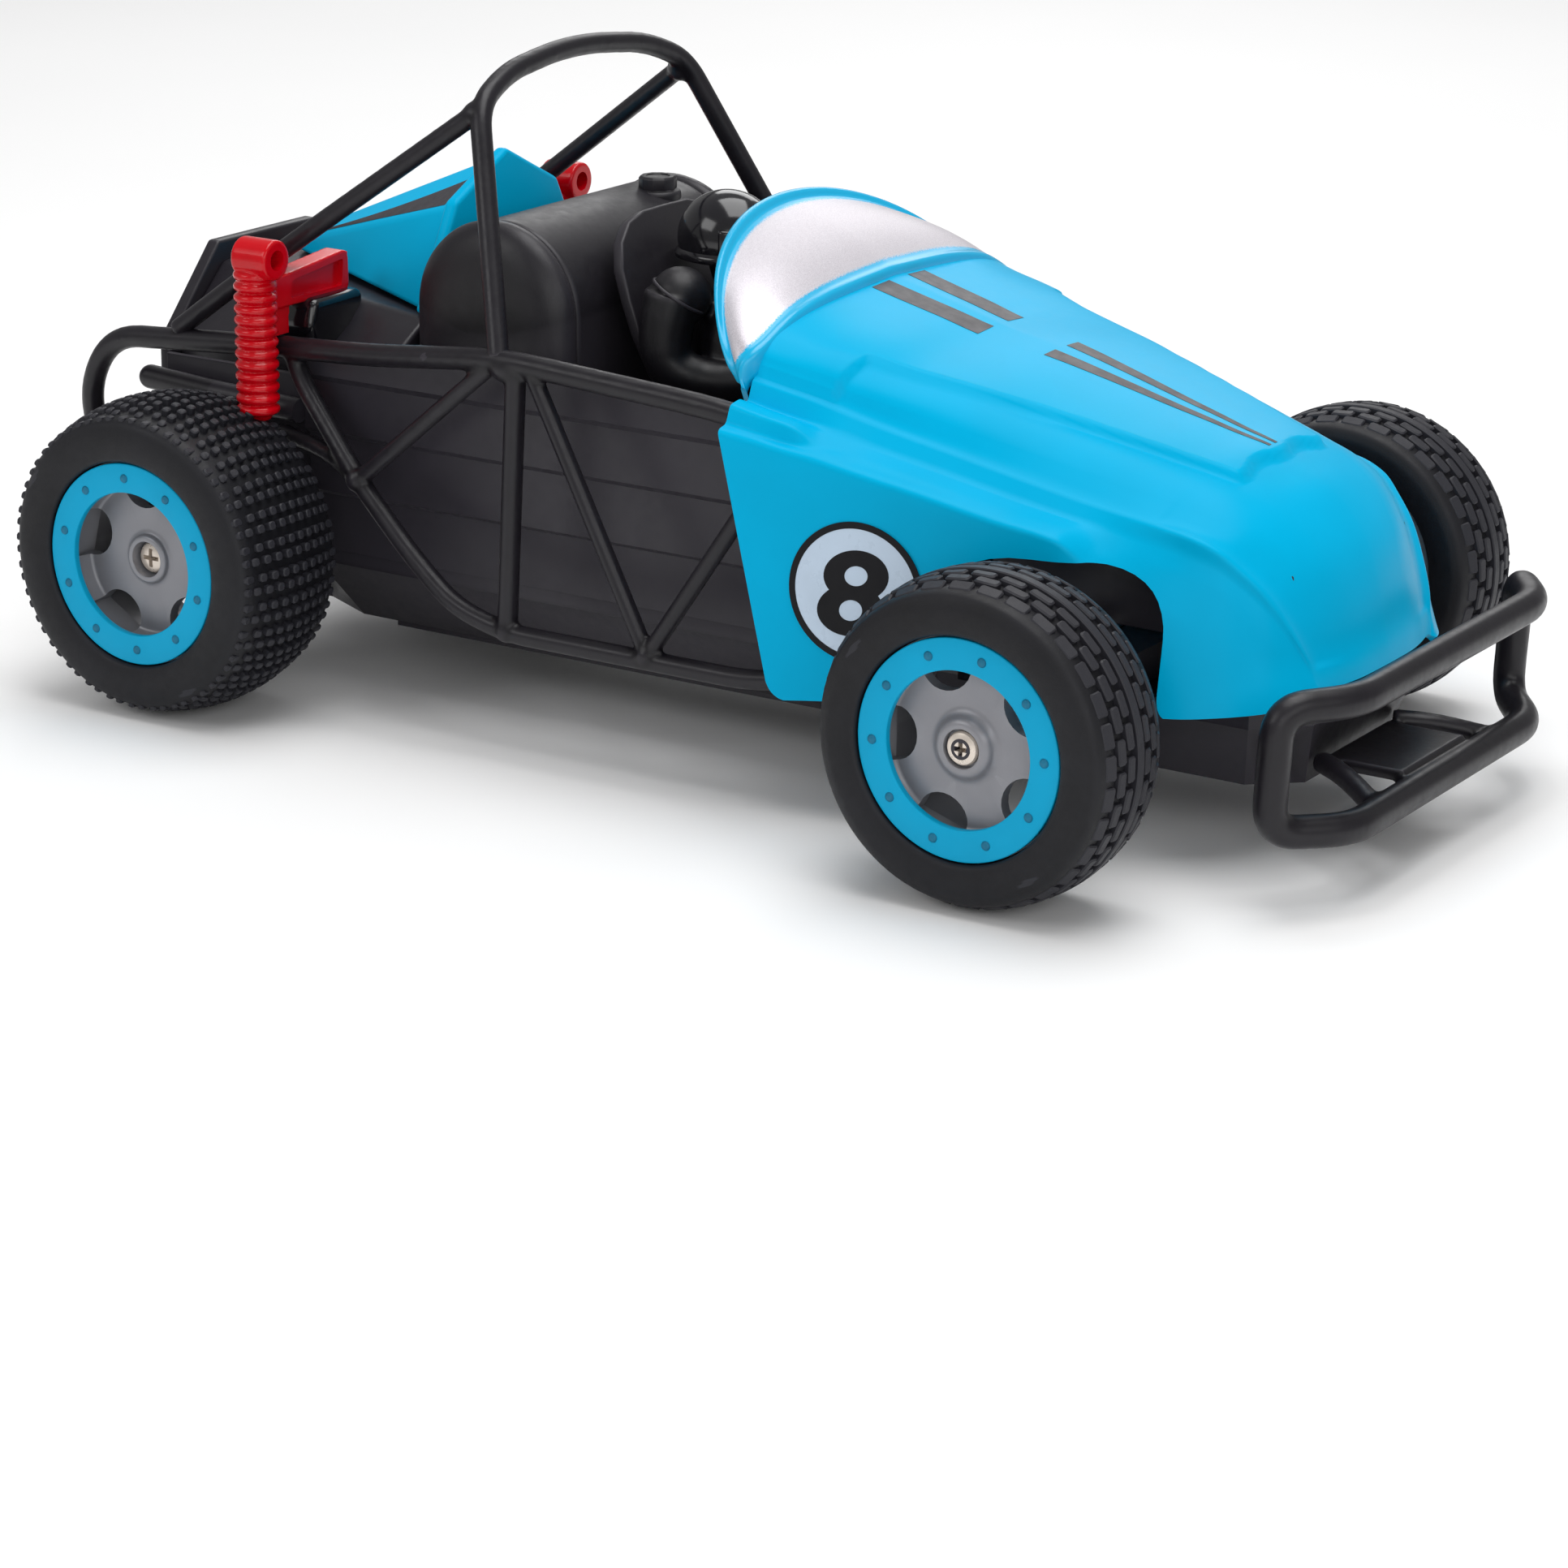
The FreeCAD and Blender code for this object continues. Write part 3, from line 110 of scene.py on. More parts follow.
class Monotone:
    """Shape-preserving cubic interpolation of equal-length rows of numbers over rising knots."""

    def __init__(self, knots, rows):
        self.knots, self.rows = knots, rows
        self.slopes = [[0.0] * len(rows[0]) for _ in rows]
        for j in range(len(rows[0])):
            steps = [(rows[i + 1][j] - rows[i][j]) / (knots[i + 1] - knots[i]) for i in range(len(knots) - 1)]
            self.slopes[0][j], self.slopes[-1][j] = steps[0], steps[-1]
            for i in range(1, len(rows) - 1):
                left, right = steps[i - 1], steps[i]
                if left * right > 0:
                    h0, h1 = knots[i] - knots[i - 1], knots[i + 1] - knots[i]
                    w0, w1 = 2 * h1 + h0, h1 + 2 * h0
                    self.slopes[i][j] = (w0 + w1) / (w0 / left + w1 / right)

    def __call__(self, t):
        i = 0
        while i < len(self.knots) - 2 and t > self.knots[i + 1]:
            i += 1
        span = self.knots[i + 1] - self.knots[i]
        u = (t - self.knots[i]) / span
        h00, h10 = (1 + 2 * u) * (1 - u) ** 2, u * (1 - u) ** 2
        h01, h11 = u * u * (3 - 2 * u), u * u * (u - 1)
        return [h00 * a + h10 * span * m + h01 * b + h11 * span * n
                for a, b, m, n in zip(self.rows[i], self.rows[i + 1], self.slopes[i], self.slopes[i + 1])]


# ---------------------------------------------------------------- mesh helpers
def grid_faces(rows, columns, close_rows=False, close_columns=False, first=0):
    faces = []
    for i in range(rows if close_rows else rows - 1):
        for j in range(columns if close_columns else columns - 1):
            i2, j2 = (i + 1) % rows, (j + 1) % columns
            faces.append((first + i * columns + j, first + i * columns + j2,
                          first + i2 * columns + j2, first + i2 * columns + j))
    return faces


def lathe(profile, steps=96):
    """A closed (r, z) profile turned about z."""
    verts = []
    for i in range(steps):
        a = 2 * math.pi * i / steps
        verts += [(r * math.cos(a), r * math.sin(a), z) for r, z in profile]
    return verts, grid_faces(steps, len(profile), True, True)


def sweep(path, radius, sides=16):
    """A round tube with flat ends along a path, its rings turned as little as possible."""
    path = [Vector(p) for p in path]
    verts, normal = [], None
    for i, point in enumerate(path):
        tangent = (path[min(i + 1, len(path) - 1)] - path[max(i - 1, 0)]).normalized()
        if normal is None:
            normal = tangent.orthogonal().normalized()
        normal = (normal - tangent * normal.dot(tangent)).normalized()
        other = tangent.cross(normal)
        r = radius(i / (len(path) - 1)) if callable(radius) else radius
        for k in range(sides):
            a = 2 * math.pi * k / sides
            verts.append(point + normal * (r * math.cos(a)) + other * (r * math.sin(a)))
    faces = grid_faces(len(path), sides, False, True)
    faces.append(tuple(range(sides))[::-1])
    faces.append(tuple((len(path) - 1) * sides + k for k in range(sides)))
    return verts, faces


def ball(centre, radii, rings=12, sides=20):
    """A closed ellipsoid; radii is a number or three numbers."""
    radii = (radii,) * 3 if isinstance(radii, (int, float)) else radii
    verts = []
    for i in range(rings + 1):
        polar = math.pi * (0.02 + 0.96 * i / rings)
        for k in range(sides):
            a = 2 * math.pi * k / sides
            unit = (math.sin(polar) * math.cos(a), math.sin(polar) * math.sin(a), math.cos(polar))
            verts.append(tuple(c + r * u for c, r, u in zip(centre, radii, unit)))
    faces = grid_faces(rings + 1, sides, False, True)
    faces.append(tuple(range(sides)))
    faces.append(tuple(rings * sides + k for k in range(sides))[::-1])
    return verts, faces


def block(low, high):
    corners = [(x, y, z) for x in (low[0], high[0]) for y in (low[1], high[1]) for z in (low[2], high[2])]
    return corners, [(0, 1, 3, 2), (4, 6, 7, 5), (0, 4, 5, 1), (2, 3, 7, 6), (0, 2, 6, 4), (1, 5, 7, 3)]


def prism(outline, start, end, axis="y"):
    """An outline of (u, v) points extruded along an axis; u, v are the other two axes in order."""
    order = {"x": lambda u, v, w: (w, u, v), "y": lambda u, v, w: (u, w, v), "z": lambda u, v, w: (u, v, w)}[axis]
    count = len(outline)
    verts = [order(u, v, start) for u, v in outline] + [order(u, v, end) for u, v in outline]
    faces = [(i, (i + 1) % count, count + (i + 1) % count, count + i) for i in range(count)]
    return verts, faces + [tuple(range(count))[::-1], tuple(range(count, 2 * count))]


def loft(sections):
    """Closed sections with the same number of points, joined in order and capped at both ends."""
    columns = len(sections[0])
    verts = [p for section in sections for p in section]
    faces = grid_faces(len(sections), columns, False, True)
    last = (len(sections) - 1) * columns
    return verts, faces + [tuple(range(columns))[::-1], tuple(last + k for k in range(columns))]


def joined(solids):
    verts, faces = [], []
    for some_verts, some_faces in solids:
        base = len(verts)
        verts += [tuple(v) for v in some_verts]
        faces += [tuple(base + i for i in face) for face in some_faces]
    return verts, faces


def flipped(solid):
    """The mirror image of a solid in the car's middle plane."""
    verts, faces = solid
    return [(v[0], -v[1], v[2]) for v in verts], [tuple(reversed(face)) for face in faces]


def moved(solid, matrix):
    verts, faces = solid
    return [tuple(matrix @ Vector(v)) for v in verts], faces


def new_object(name, data):
    obj = bpy.data.objects.new(name, data)
    bpy.context.scene.collection.objects.link(obj)
    return obj


def mesh_object(name, verts, faces):
    mesh = bpy.data.meshes.new(name)
    mesh.from_pydata(verts, [], faces)
    return new_object(name, mesh)


def face_outwards(obj, weld=False):
    work = bmesh.new()
    work.from_mesh(obj.data)
    if weld:
        bmesh.ops.remove_doubles(work, verts=work.verts, dist=1e-7)
    bmesh.ops.recalc_face_normals(work, faces=work.faces)
    work.to_mesh(obj.data)
    work.free()


def make_object(name, solid, place=to_car):
    """A mesh object from a solid's points and faces; place turns its millimetres into the frame's metres."""
    verts, faces = solid
    obj = mesh_object(name, [place(v) for v in verts], faces)
    face_outwards(obj, weld=True)
    return obj


def evaluated_mesh(obj):
    bpy.context.view_layer.update()
    return bpy.data.meshes.new_from_object(obj.evaluated_get(bpy.context.evaluated_depsgraph_get()))


def bake(obj):
    """Applies the object's modifiers."""
    old, obj.data = obj.data, evaluated_mesh(obj)
    obj.modifiers.clear()
    bpy.data.meshes.remove(old)
    return obj


def bevelled(obj, width, segments=3, angle=30):
    bevel = obj.modifiers.new("Bevel", "BEVEL")
    bevel.width = width * MM
    bevel.segments = segments
    bevel.limit_method = "ANGLE"
    bevel.angle_limit = math.radians(angle)
    bevel.use_clamp_overlap = True
    return bake(obj)


def moulded(obj, voxel, smoothing):
    """Fuses overlapping solids into one skin with soft fillets where they meet."""
    remesh = obj.modifiers.new("Remesh", "REMESH")
    remesh.mode = "VOXEL"
    remesh.voxel_size = voxel * MM
    relax = obj.modifiers.new("Relax", "SMOOTH")
    relax.factor = 0.5
    relax.iterations = smoothing
    return bake(obj)


def carved(obj, tools):
    """Cuts the tools out of the object and removes them."""
    for index, tool in enumerate(tools):
        cut = obj.modifiers.new(f"Cut{index}", "BOOLEAN")
        cut.operation = "DIFFERENCE"
        cut.solver = "EXACT"
        cut.object = tool
    bake(obj)
    for tool in tools:
        bpy.data.objects.remove(tool)
    return obj


def finish_piece(obj, slot, replaces=(), smooth=40, body="chassis", look=None):
    """Gives a piece its slot's material, shading and body; look names a material other than the slot's own."""
    obj.data.materials.clear()
    obj.data.materials.append(MAT[look or SLOT_MATERIAL[slot]])
    for face in obj.data.polygons:
        face.use_smooth = True
    obj.data.set_sharp_from_angle(angle=math.radians(smooth))
    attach(obj, body)
    if replaces:
        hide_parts(*replaces)
    return obj


def add_piece(name, solid, slot, replaces=(), smooth=40, look=None, bevel=None, mould=None):
    """A piece on the chassis; bevel and mould are what bevelled and moulded take after the object."""
    obj = make_object(name, solid)
    if bevel:
        bevelled(obj, *bevel)
    if mould:
        moulded(obj, *mould)
    return finish_piece(obj, slot, replaces, smooth, look=look)


# ---------------------------------------------------------------- materials
def new_material(name):
    material = bpy.data.materials.new(name)
    material.use_nodes = True
    tree = material.node_tree
    shader = next(n for n in tree.nodes if n.type == "BSDF_PRINCIPLED")
    return material, tree, shader


def add_node(tree, kind, **values):
    node = tree.nodes.new(kind)
    for key, value in values.items():
        if key in node.inputs:
            node.inputs[key].default_value = value
        else:
            setattr(node, key, value)
    return node


def noise(tree, scale, detail=3.0, rough=0.5):
    coords = add_node(tree, "ShaderNodeTexCoord")
    texture = add_node(tree, "ShaderNodeTexNoise", Scale=scale, Detail=detail, Roughness=rough)
    tree.links.new(coords.outputs["Object"], texture.inputs["Vector"])
    return texture.outputs["Fac"]


def map_range(tree, value, low, high, to_low, to_high):
    node = add_node(tree, "ShaderNodeMapRange")
    for socket, number in zip(("From Min", "From Max", "To Min", "To Max"), (low, high, to_low, to_high)):
        node.inputs[socket].default_value = number
    tree.links.new(value, node.inputs["Value"])
    return node.outputs["Result"]


def mix_colour(tree, factor, first, second, blend="MIX"):
    node = add_node(tree, "ShaderNodeMix", data_type="RGBA", blend_type=blend)
    tree.links.new(factor, node.inputs["Factor"])
    for socket, value in ((6, first), (7, second)):
        if hasattr(value, "links"):
            tree.links.new(value, node.inputs[socket])
        else:
            node.inputs[socket].default_value = (*value, 1.0)
    return node.outputs[2]


PATCH_SCALE, SMUDGE_SCALE = 70.0, 420.0   # noise scales of the colour patches and of the uneven gloss


def surface(name, colour, rough, shade=0.12, grain=0.06, grain_scale=2200.0, metal=0.0, coat=0.0, specular=0.5,
            rough_spread=0.06, edge=None):
    """A solid coloured finish: soft colour patches, uneven gloss, fine grain, and, if asked, lighter convex edges that
    are partly rubbed wear and partly a painted highlight.
    """
    material, tree, shader = new_material(name)
    patches = map_range(tree, noise(tree, PATCH_SCALE, 4.0), 0.3, 0.7, 0.0, 1.0)
    darker, lighter = (tuple(min(1, c * k) for c in colour) for k in (1 - shade, 1 + shade))
    tint = mix_colour(tree, patches, darker, lighter)
    # edge is the colour of the convex edges: partly rubbed wear, partly a painted edge highlight
    if edge:
        geometry = add_node(tree, "ShaderNodeNewGeometry")
        edge_wear_and_highlight = map_range(tree, geometry.outputs["Pointiness"], 0.505, 0.56, 0.0, 1.0)
        tint = mix_colour(tree, edge_wear_and_highlight, tint, edge)
    tree.links.new(tint, shader.inputs["Base Color"])
    smudges = noise(tree, SMUDGE_SCALE, 5.0, 0.6)
    gloss = map_range(tree, smudges, 0.3, 0.7, rough - rough_spread, rough + rough_spread)
    tree.links.new(gloss, shader.inputs["Roughness"])
    bump = add_node(tree, "ShaderNodeBump", Strength=grain, Distance=0.0002)
    tree.links.new(noise(tree, grain_scale, 4.0, 0.7), bump.inputs["Height"])
    tree.links.new(bump.outputs["Normal"], shader.inputs["Normal"])
    shader.inputs["Metallic"].default_value = metal
    shader.inputs["Coat Weight"].default_value = coat
    shader.inputs["Coat Roughness"].default_value = 0.12
    shader.inputs["Specular IOR Level"].default_value = specular
    return material


BLUE = (0.0, 0.41, 0.70)
# The edge colours make convex edges lighter: partly rubbed wear, partly a painted highlight.
MAT = {
    "blue": surface("blue_shell_plastic", BLUE, 0.3, shade=0.02, grain=0.006, grain_scale=4000, specular=0.05,
                    rough_spread=0.02),
    "ring": surface("blue_ring_paint", (0.0, 0.35, 0.6), 0.4, shade=0.04, grain=0.03, specular=0.15),
    "rivet": surface("blue_ring_rivets", (0.004, 0.15, 0.26), 0.4, shade=0.1, grain=0.05, specular=0.3),
    "black": surface("black_satin_plastic", (0.0055, 0.0045, 0.0068), 0.36, shade=0.25, grain=0.1, grain_scale=2600,
                     specular=0.36, edge=(0.03, 0.027, 0.035)),
    "cockpit": surface("cockpit_plastic", (0.0058, 0.0052, 0.0072), 0.42, shade=0.25, grain=0.12, grain_scale=2400,
                       specular=0.4, edge=(0.03, 0.027, 0.034)),
    "gloss_black": surface("gloss_black_plastic", (0.006, 0.0055, 0.008), 0.14, shade=0.15, grain=0.02, coat=0.3),
    "rubber": surface("tyre_rubber", (0.006, 0.006, 0.0085), 0.52, shade=0.25, grain=0.2, grain_scale=3000,
                      specular=0.3, edge=(0.022, 0.022, 0.028)),
    "rim": surface("silver_grey_plastic", (0.24, 0.24, 0.26), 0.34, shade=0.07, grain=0.12, grain_scale=5000,
                   metal=0.3, edge=(0.26, 0.26, 0.28)),
    "red": surface("red_gloss_plastic", (0.55, 0.0, 0.006), 0.2, shade=0.1, grain=0.02, grain_scale=900, coat=0.12,
                   specular=0.3),
    "nickel": surface("nickel_plate", (0.72, 0.64, 0.56), 0.3, shade=0.15, grain=0.06, grain_scale=4000, metal=0.55),
    "steel": surface("plain_steel", (0.5, 0.5, 0.52), 0.33, shade=0.12, grain=0.12, grain_scale=3000, metal=1.0),
    "brass": surface("plain_brass", (0.62, 0.42, 0.16), 0.3, shade=0.12, grain=0.12, grain_scale=3000, metal=1.0),
    "nylon": surface("white_nylon", (0.72, 0.71, 0.66), 0.4, shade=0.05, grain=0.08, grain_scale=1800),
    "wrap": surface("battery_wrap", (0.03, 0.09, 0.32), 0.25, shade=0.1, grain=0.15, grain_scale=500, coat=0.4),
    "board": surface("solder_mask", (0.01, 0.12, 0.04), 0.35, shade=0.3, grain=0.2, grain_scale=900, coat=0.3),
    "stripe": surface("grey_print", (0.025, 0.023, 0.03), 0.42, shade=0.12, grain=0.08, grain_scale=2600),
    "print_white": surface("white_print", (0.52, 0.64, 0.78), 0.3, shade=0.04, grain=0.04, coat=0.2),
    "print_black": surface("black_print", (0.005, 0.005, 0.007), 0.5, shade=0.1, grain=0.05, specular=0.2),
}
SLOT_MATERIAL = {"blue_plastic": "blue", "windscreen_paint": "blue", "black_plastic": "black",
                 "cockpit_black": "cockpit", "rim_grey": "rim", "tyre_rubber": "rubber", "red_plastic": "red",
                 "helmet_black": "gloss_black", "nickel": "nickel", "steel": "steel", "brass": "brass",
                 "nylon_white": "nylon", "motor_can": "steel", "battery_wrap": "wrap", "board_green": "board",
                 "sticker": "print_white"}


def screen_material():
    """Silver-white paint sprayed inside a blue rim; the silver amount is stored on the mesh, its edge is feathered."""
    material, tree, shader = new_material("windscreen_paint")
    amount = add_node(tree, "ShaderNodeAttribute", attribute_name="silver")
    spray = add_node(tree, "ShaderNodeMath", operation="ADD")
    tree.links.new(amount.outputs["Fac"], spray.inputs[0])
    tree.links.new(map_range(tree, noise(tree, 3500, 2.0), 0.3, 0.7, -0.16, 0.16), spray.inputs[1])
    mask = map_range(tree, spray.outputs["Value"], 0.34, 0.66, 0.0, 1.0)
    flakes = map_range(tree, noise(tree, 6500, 2.0), 0.35, 0.65, 0.0, 1.0)
    silver = mix_colour(tree, flakes, (0.46, 0.43, 0.47), (0.68, 0.65, 0.69))
    tree.links.new(mix_colour(tree, mask, BLUE, silver), shader.inputs["Base Color"])
    tree.links.new(map_range(tree, mask, 0, 1, 0.2, 0.36), shader.inputs["Roughness"])
    tree.links.new(map_range(tree, mask, 0, 1, 0.0, 0.35), shader.inputs["Metallic"])
    bump = add_node(tree, "ShaderNodeBump", Strength=0.08, Distance=0.0002)
    tree.links.new(flakes, bump.inputs["Height"])
    tree.links.new(bump.outputs["Normal"], shader.inputs["Normal"])
    return material


MAT["screen"] = screen_material()
node_slots = {part["node"]: part["material_slot"] for part in frame["record"]["subparts"]}
for node_name, node_object in frame["nodes"].items():
    node_object.data.materials.clear()
    node_object.data.materials.append(MAT[SLOT_MATERIAL[node_slots[node_name]]])


# ---------------------------------------------------------------- wheels
RING_R, RING_BORE, RIVETS, RIVET_CIRCLE = 21.3, 15.15, 10, 18.2
# Each wheel's axle, outboard face and tyre in millimetres; the turns of its spoke gaps and rivets in degrees.
WHEELS = {
    "rear": dict(x=REAR_X, face=81.8, z=33.5, radius=33.5, width=31.7, droop=2.2, tread=1.6, gaps=22, rivets=21,
                 screw_seat=-8.1),
    "front": dict(x=FRONT_X, face=89.6, z=32.0, radius=32.0, width=25.8, droop=1.3, tread=1.3, gaps=36, rivets=3,
                  screw_seat=-2.9),
}
REAR_BLOCK, REAR_PITCH, REAR_HALF_ANGLE = 0.86, 2.95, 0.026   # half-width, spacing and half-angle of the tread blocks
SPOKES = 5
TYRE_STANDS_PROUD = 1.4   # how far the tyre's side stands past the bead ring's face


def wheel_place(end, side):
    wheel = WHEELS[end]
    turn = Matrix.Rotation(math.radians(-90 * SIDES[side]), 4, "X")
    spot = Vector((wheel["x"], SIDES[side] * wheel["face"] * MM, wheel["z"] * MM))
    return lambda point: spot + turn @ (Vector(point) * MM)


def tread_block(angles, span, low, top, edge, middle):
    """One rubber block between two angles and two distances from the tread's middle; low and top give radii."""
    loops = []
    for radius_of, inset in ((low, 0.0), (lambda d: top(d) - edge, 0.0), (top, edge)):
        ring = []
        a0, a1 = angles
        d0, d1 = span[0] + inset, span[1] - inset
        turn = inset / top(0)
        a0, a1 = a0 + turn, a1 - turn
        chamfer_a, chamfer_d = 0.35 / top(0), 0.35
        for a, d in ((a0, d0 + chamfer_d), (a0, d1 - chamfer_d), (a0 + chamfer_a, d1), (a1 - chamfer_a, d1),
                     (a1, d1 - chamfer_d), (a1, d0 + chamfer_d), (a1 - chamfer_a, d0), (a0 + chamfer_a, d0)):
            r = radius_of(d)
            ring.append((r * math.cos(a), r * math.sin(a), middle + d))
        loops.append(ring)
    verts = [p for ring in loops for p in ring]
    return verts, grid_faces(3, 8, False, True) + [tuple(16 + k for k in range(8)), tuple(range(8))[::-1]]


def rear_tread(top, low, middle):
    """Rows of small square blocks, nine and eight wide in turn, with a longer block on each shoulder."""
    pairs = 32
    pitch = 2 * math.pi / pairs
    blocks = []
    for k in range(pairs):
        for row, count, shoulder_from in ((-1, 9, 12.9), (1, 8, 12.2)):
            a = pitch * (k + 0.22 * row)
            angles = (a - REAR_HALF_ANGLE, a + REAR_HALF_ANGLE)
            for j in range(count):
                d = (j - (count - 1) / 2) * REAR_PITCH
                blocks.append(tread_block(angles, (d - REAR_BLOCK, d + REAR_BLOCK), low, top, 0.22, middle))
            for side in (-1, 1):
                span = sorted((side * shoulder_from, side * 14.6))
                blocks.append(tread_block(angles, span, lambda d: 29.4, lambda d: 31.05, 0.22, middle))
    return blocks


def front_tread(top, low, middle):
    """Three rows of long blocks each side of a centre rib, staggered like bricks."""
    count = 32
    pitch = 2 * math.pi / count
    blocks = []
    for side in (-1, 1):
        for row, (inner, outer) in enumerate(((2.0, 4.1), (4.8, 7.0), (7.7, 10.2))):
            span = sorted((side * inner, side * outer))
            for k in range(count):
                a = pitch * (k + 0.5 * (row % 2) + 0.12 * row)
                drop = (lambda d: top(d) - max(abs(d) - 8.6, 0) * 0.3) if row == 2 else top
                floor = (lambda d: low(d) - 1.0) if row == 2 else low
                blocks.append(tread_block((a - 0.078, a + 0.078), span, floor, drop, 0.28, middle))
    return blocks


def tyre_solid(end):
    wheel = WHEELS[end]
    half, radius = wheel["width"] / 2, wheel["radius"]
    middle = TYRE_STANDS_PROUD - half
    droop_at = half - 2.8

    def top(d):
        return radius - wheel["droop"] * (d / droop_at) ** 2

    def low(d):
        return top(d) - wheel["tread"] - 0.2

    crown = top(0) - wheel["tread"]
    edge = crown - wheel["droop"] * 0.45
    side_wall = [(21.62, half - 2.2), (21.7, half - 1.2), (22.4, half - 0.55), (24.4, half - 0.15),
                 (26.8, half - 0.15), (edge - 2.0, half - 0.5), (edge - 0.85, half - 1.15), (edge - 0.2, half - 2.3),
                 (edge + 0.15, half - 3.8), (crown - wheel["droop"] * 0.25, half * 0.5)]
    outer = [(r, d, 0) for r, d in side_wall] + [(crown, 0, 0)]
    outer += [(r, -d, 0) for r, d in reversed(side_wall)]
    profile = [(p.x, middle + p.y) for p in smooth_path(outer, 5)]
    solids = [lathe(profile, 128)]
    if end == "rear":
        solids += rear_tread(top, low, middle)
    else:
        solids += front_tread(top, low, middle)
        rib = [(crown - 0.6, -1.25), (crown + 1.1, -1.2), (crown + 1.33, -0.95), (crown + 1.33, 0.95),
               (crown + 1.1, 1.2), (crown - 0.6, 1.25)]
        solids.append(lathe([(r, middle + d) for r, d in rib], 128))
    return joined(solids)


def rim_solid(end):
    back = TYRE_STANDS_PROUD - WHEELS[end]["width"] + 3.0
    if end == "front":
        bore, hub_bottom = 2.06, -19.0
        boss = [(bore, -3.0), (3.75, -3.0), (3.75, -1.3), (4.7, -1.3), (5.5, -1.7), (6.2, -2.9), (7.2, -3.5)]
        cuts = [0, 0, 0.3, 0.3, 0.5, 0.5, 0.6]
    else:
        bore, hub_bottom = 2.005, -22.0
        boss = [(bore, -8.2), (3.7, -8.2), (3.7, -4.9), (4.7, -4.9), (5.1, -5.3), (5.2, -6.0), (6.0, -6.3)]
        cuts = [0, 0, 0.3, 0.3, 0.3, 0.3, 0.4]
    face = -3.7 if end == "front" else -6.3
    dish = [(14.9, face), (16.0, face + 0.2), (17.2, -1.7), (21.5, -1.7), (21.5, back), (18.4, back),
            (18.4, face - 2.6), (5.2, face - 2.6), (5.2, hub_bottom), (bore, hub_bottom)]
    cuts += [1.0, 0.6, 0.3, 0.2, 0.3, 0.3, 0.4, 0.4, 0.2, 0]
    return lathe(rounded_outline(boss + dish, cuts, 3, closed=True), 120)


def spoke_gap(turn):
    """A half-oval opening at the rim's edge, its round end towards the hub."""
    outline = [(16.6, -5.6), (16.6, 5.6)]
    for k in range(13):
        a = math.pi / 2 + math.pi * k / 12
        outline.append((15.3 + 4.7 * math.cos(a), 5.3 * math.sin(a)))
    c, s = math.cos(turn), math.sin(turn)
    return prism([(u * c - v * s, u * s + v * c) for u, v in outline], -12.0, 3.0, "z")


def ring_solid():
    section = [(RING_BORE, -1.6), (RING_BORE, 0), (RING_R, 0), (RING_R, -1.6)]
    return lathe(rounded_outline(section, 0.3, 3, True), 128)


def rivet_solids(turn):
    dome = [(0.0, -0.3), (0.95, -0.3), (0.95, 0.02), (0.8, 0.26), (0.5, 0.4), (0.0, 0.44)]
    solids = []
    for k in range(RIVETS):
        a = 2 * math.pi * k / RIVETS + math.radians(turn)
        spot = (RIVET_CIRCLE * math.cos(a), RIVET_CIRCLE * math.sin(a), 0)
        solids.append(moved(lathe(dome, 14), Matrix.Translation(spot)))
    return joined(solids)


def screw_object(name, seat, place):
    """A domed pan-head screw with a tapered cross recess; seat is the height of its head's underside."""
    profile = [(0, seat + 1.75), (1.4, seat + 1.7), (2.4, seat + 1.55), (3.0, seat + 1.3), (3.3, seat + 0.85),
               (3.3, seat), (1.2, seat), (1.2, seat - 7.0), (0, seat - 7.5)]
    head = make_object(name, lathe(profile, 40), place)
    tools = []
    for turn in (0, 90):
        spin = Matrix.Rotation(math.radians(turn), 4, "Z")
        slot = [(-2.1, seat + 2.6), (2.1, seat + 2.6), (1.9, seat + 0.9), (0.7, seat - 0.8), (-0.7, seat - 0.8),
                (-1.9, seat + 0.9)]
        tools.append(make_object("recess", moved(prism(slot, -0.45, 0.45, "y"), spin), place))
    return carved(head, tools)


for end, wheel in WHEELS.items():
    tyre, ring = tyre_solid(end), ring_solid()
    for side in SIDES:
        place = wheel_place(end, side)
        body = "rear_wheels" if end == "rear" else f"front_wheel_{side}"
        corner = f"{end}_{side}"
        finish_piece(make_object(f"tyre_look_{corner}", tyre, place), "tyre_rubber", [f"tyre_{corner}"], 32, body)
        rim = make_object(f"rim_look_{corner}", rim_solid(end), place)
        gap_turns = [2 * math.pi * k / SPOKES + math.radians(wheel["gaps"]) for k in range(SPOKES)]
        carved(rim, [make_object("gap", spoke_gap(turn), place) for turn in gap_turns])
        finish_piece(rim, "rim_grey", [f"rim_{corner}"], 32, body)
        finish_piece(make_object(f"bead_ring_look_{corner}", ring, place), "blue_plastic", [f"bead_ring_{corner}"],
                     body=body, look="ring")
        rivets = make_object(f"ring_rivets_{corner}", rivet_solids(wheel["rivets"]), place)
        finish_piece(rivets, "blue_plastic", body=body, look="rivet")
        screw = screw_object(f"wheel_screw_look_{corner}", wheel["screw_seat"], place)
        if end == "front":
            finish_piece(screw, "nickel", [f"wheel_screw_front_{side}"], 30, f"knuckle_{side}")
        else:
            finish_piece(screw, "nickel", smooth=30, body=body)
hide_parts("rear_wheel_screws")


# ---------------------------------------------------------------- front body shell
SIDE_SLOPE = 0.1466


def side_y(x):
    """Half-width of the shell's side at x."""
    return 61.0 - SIDE_SLOPE * (x - 132.0)


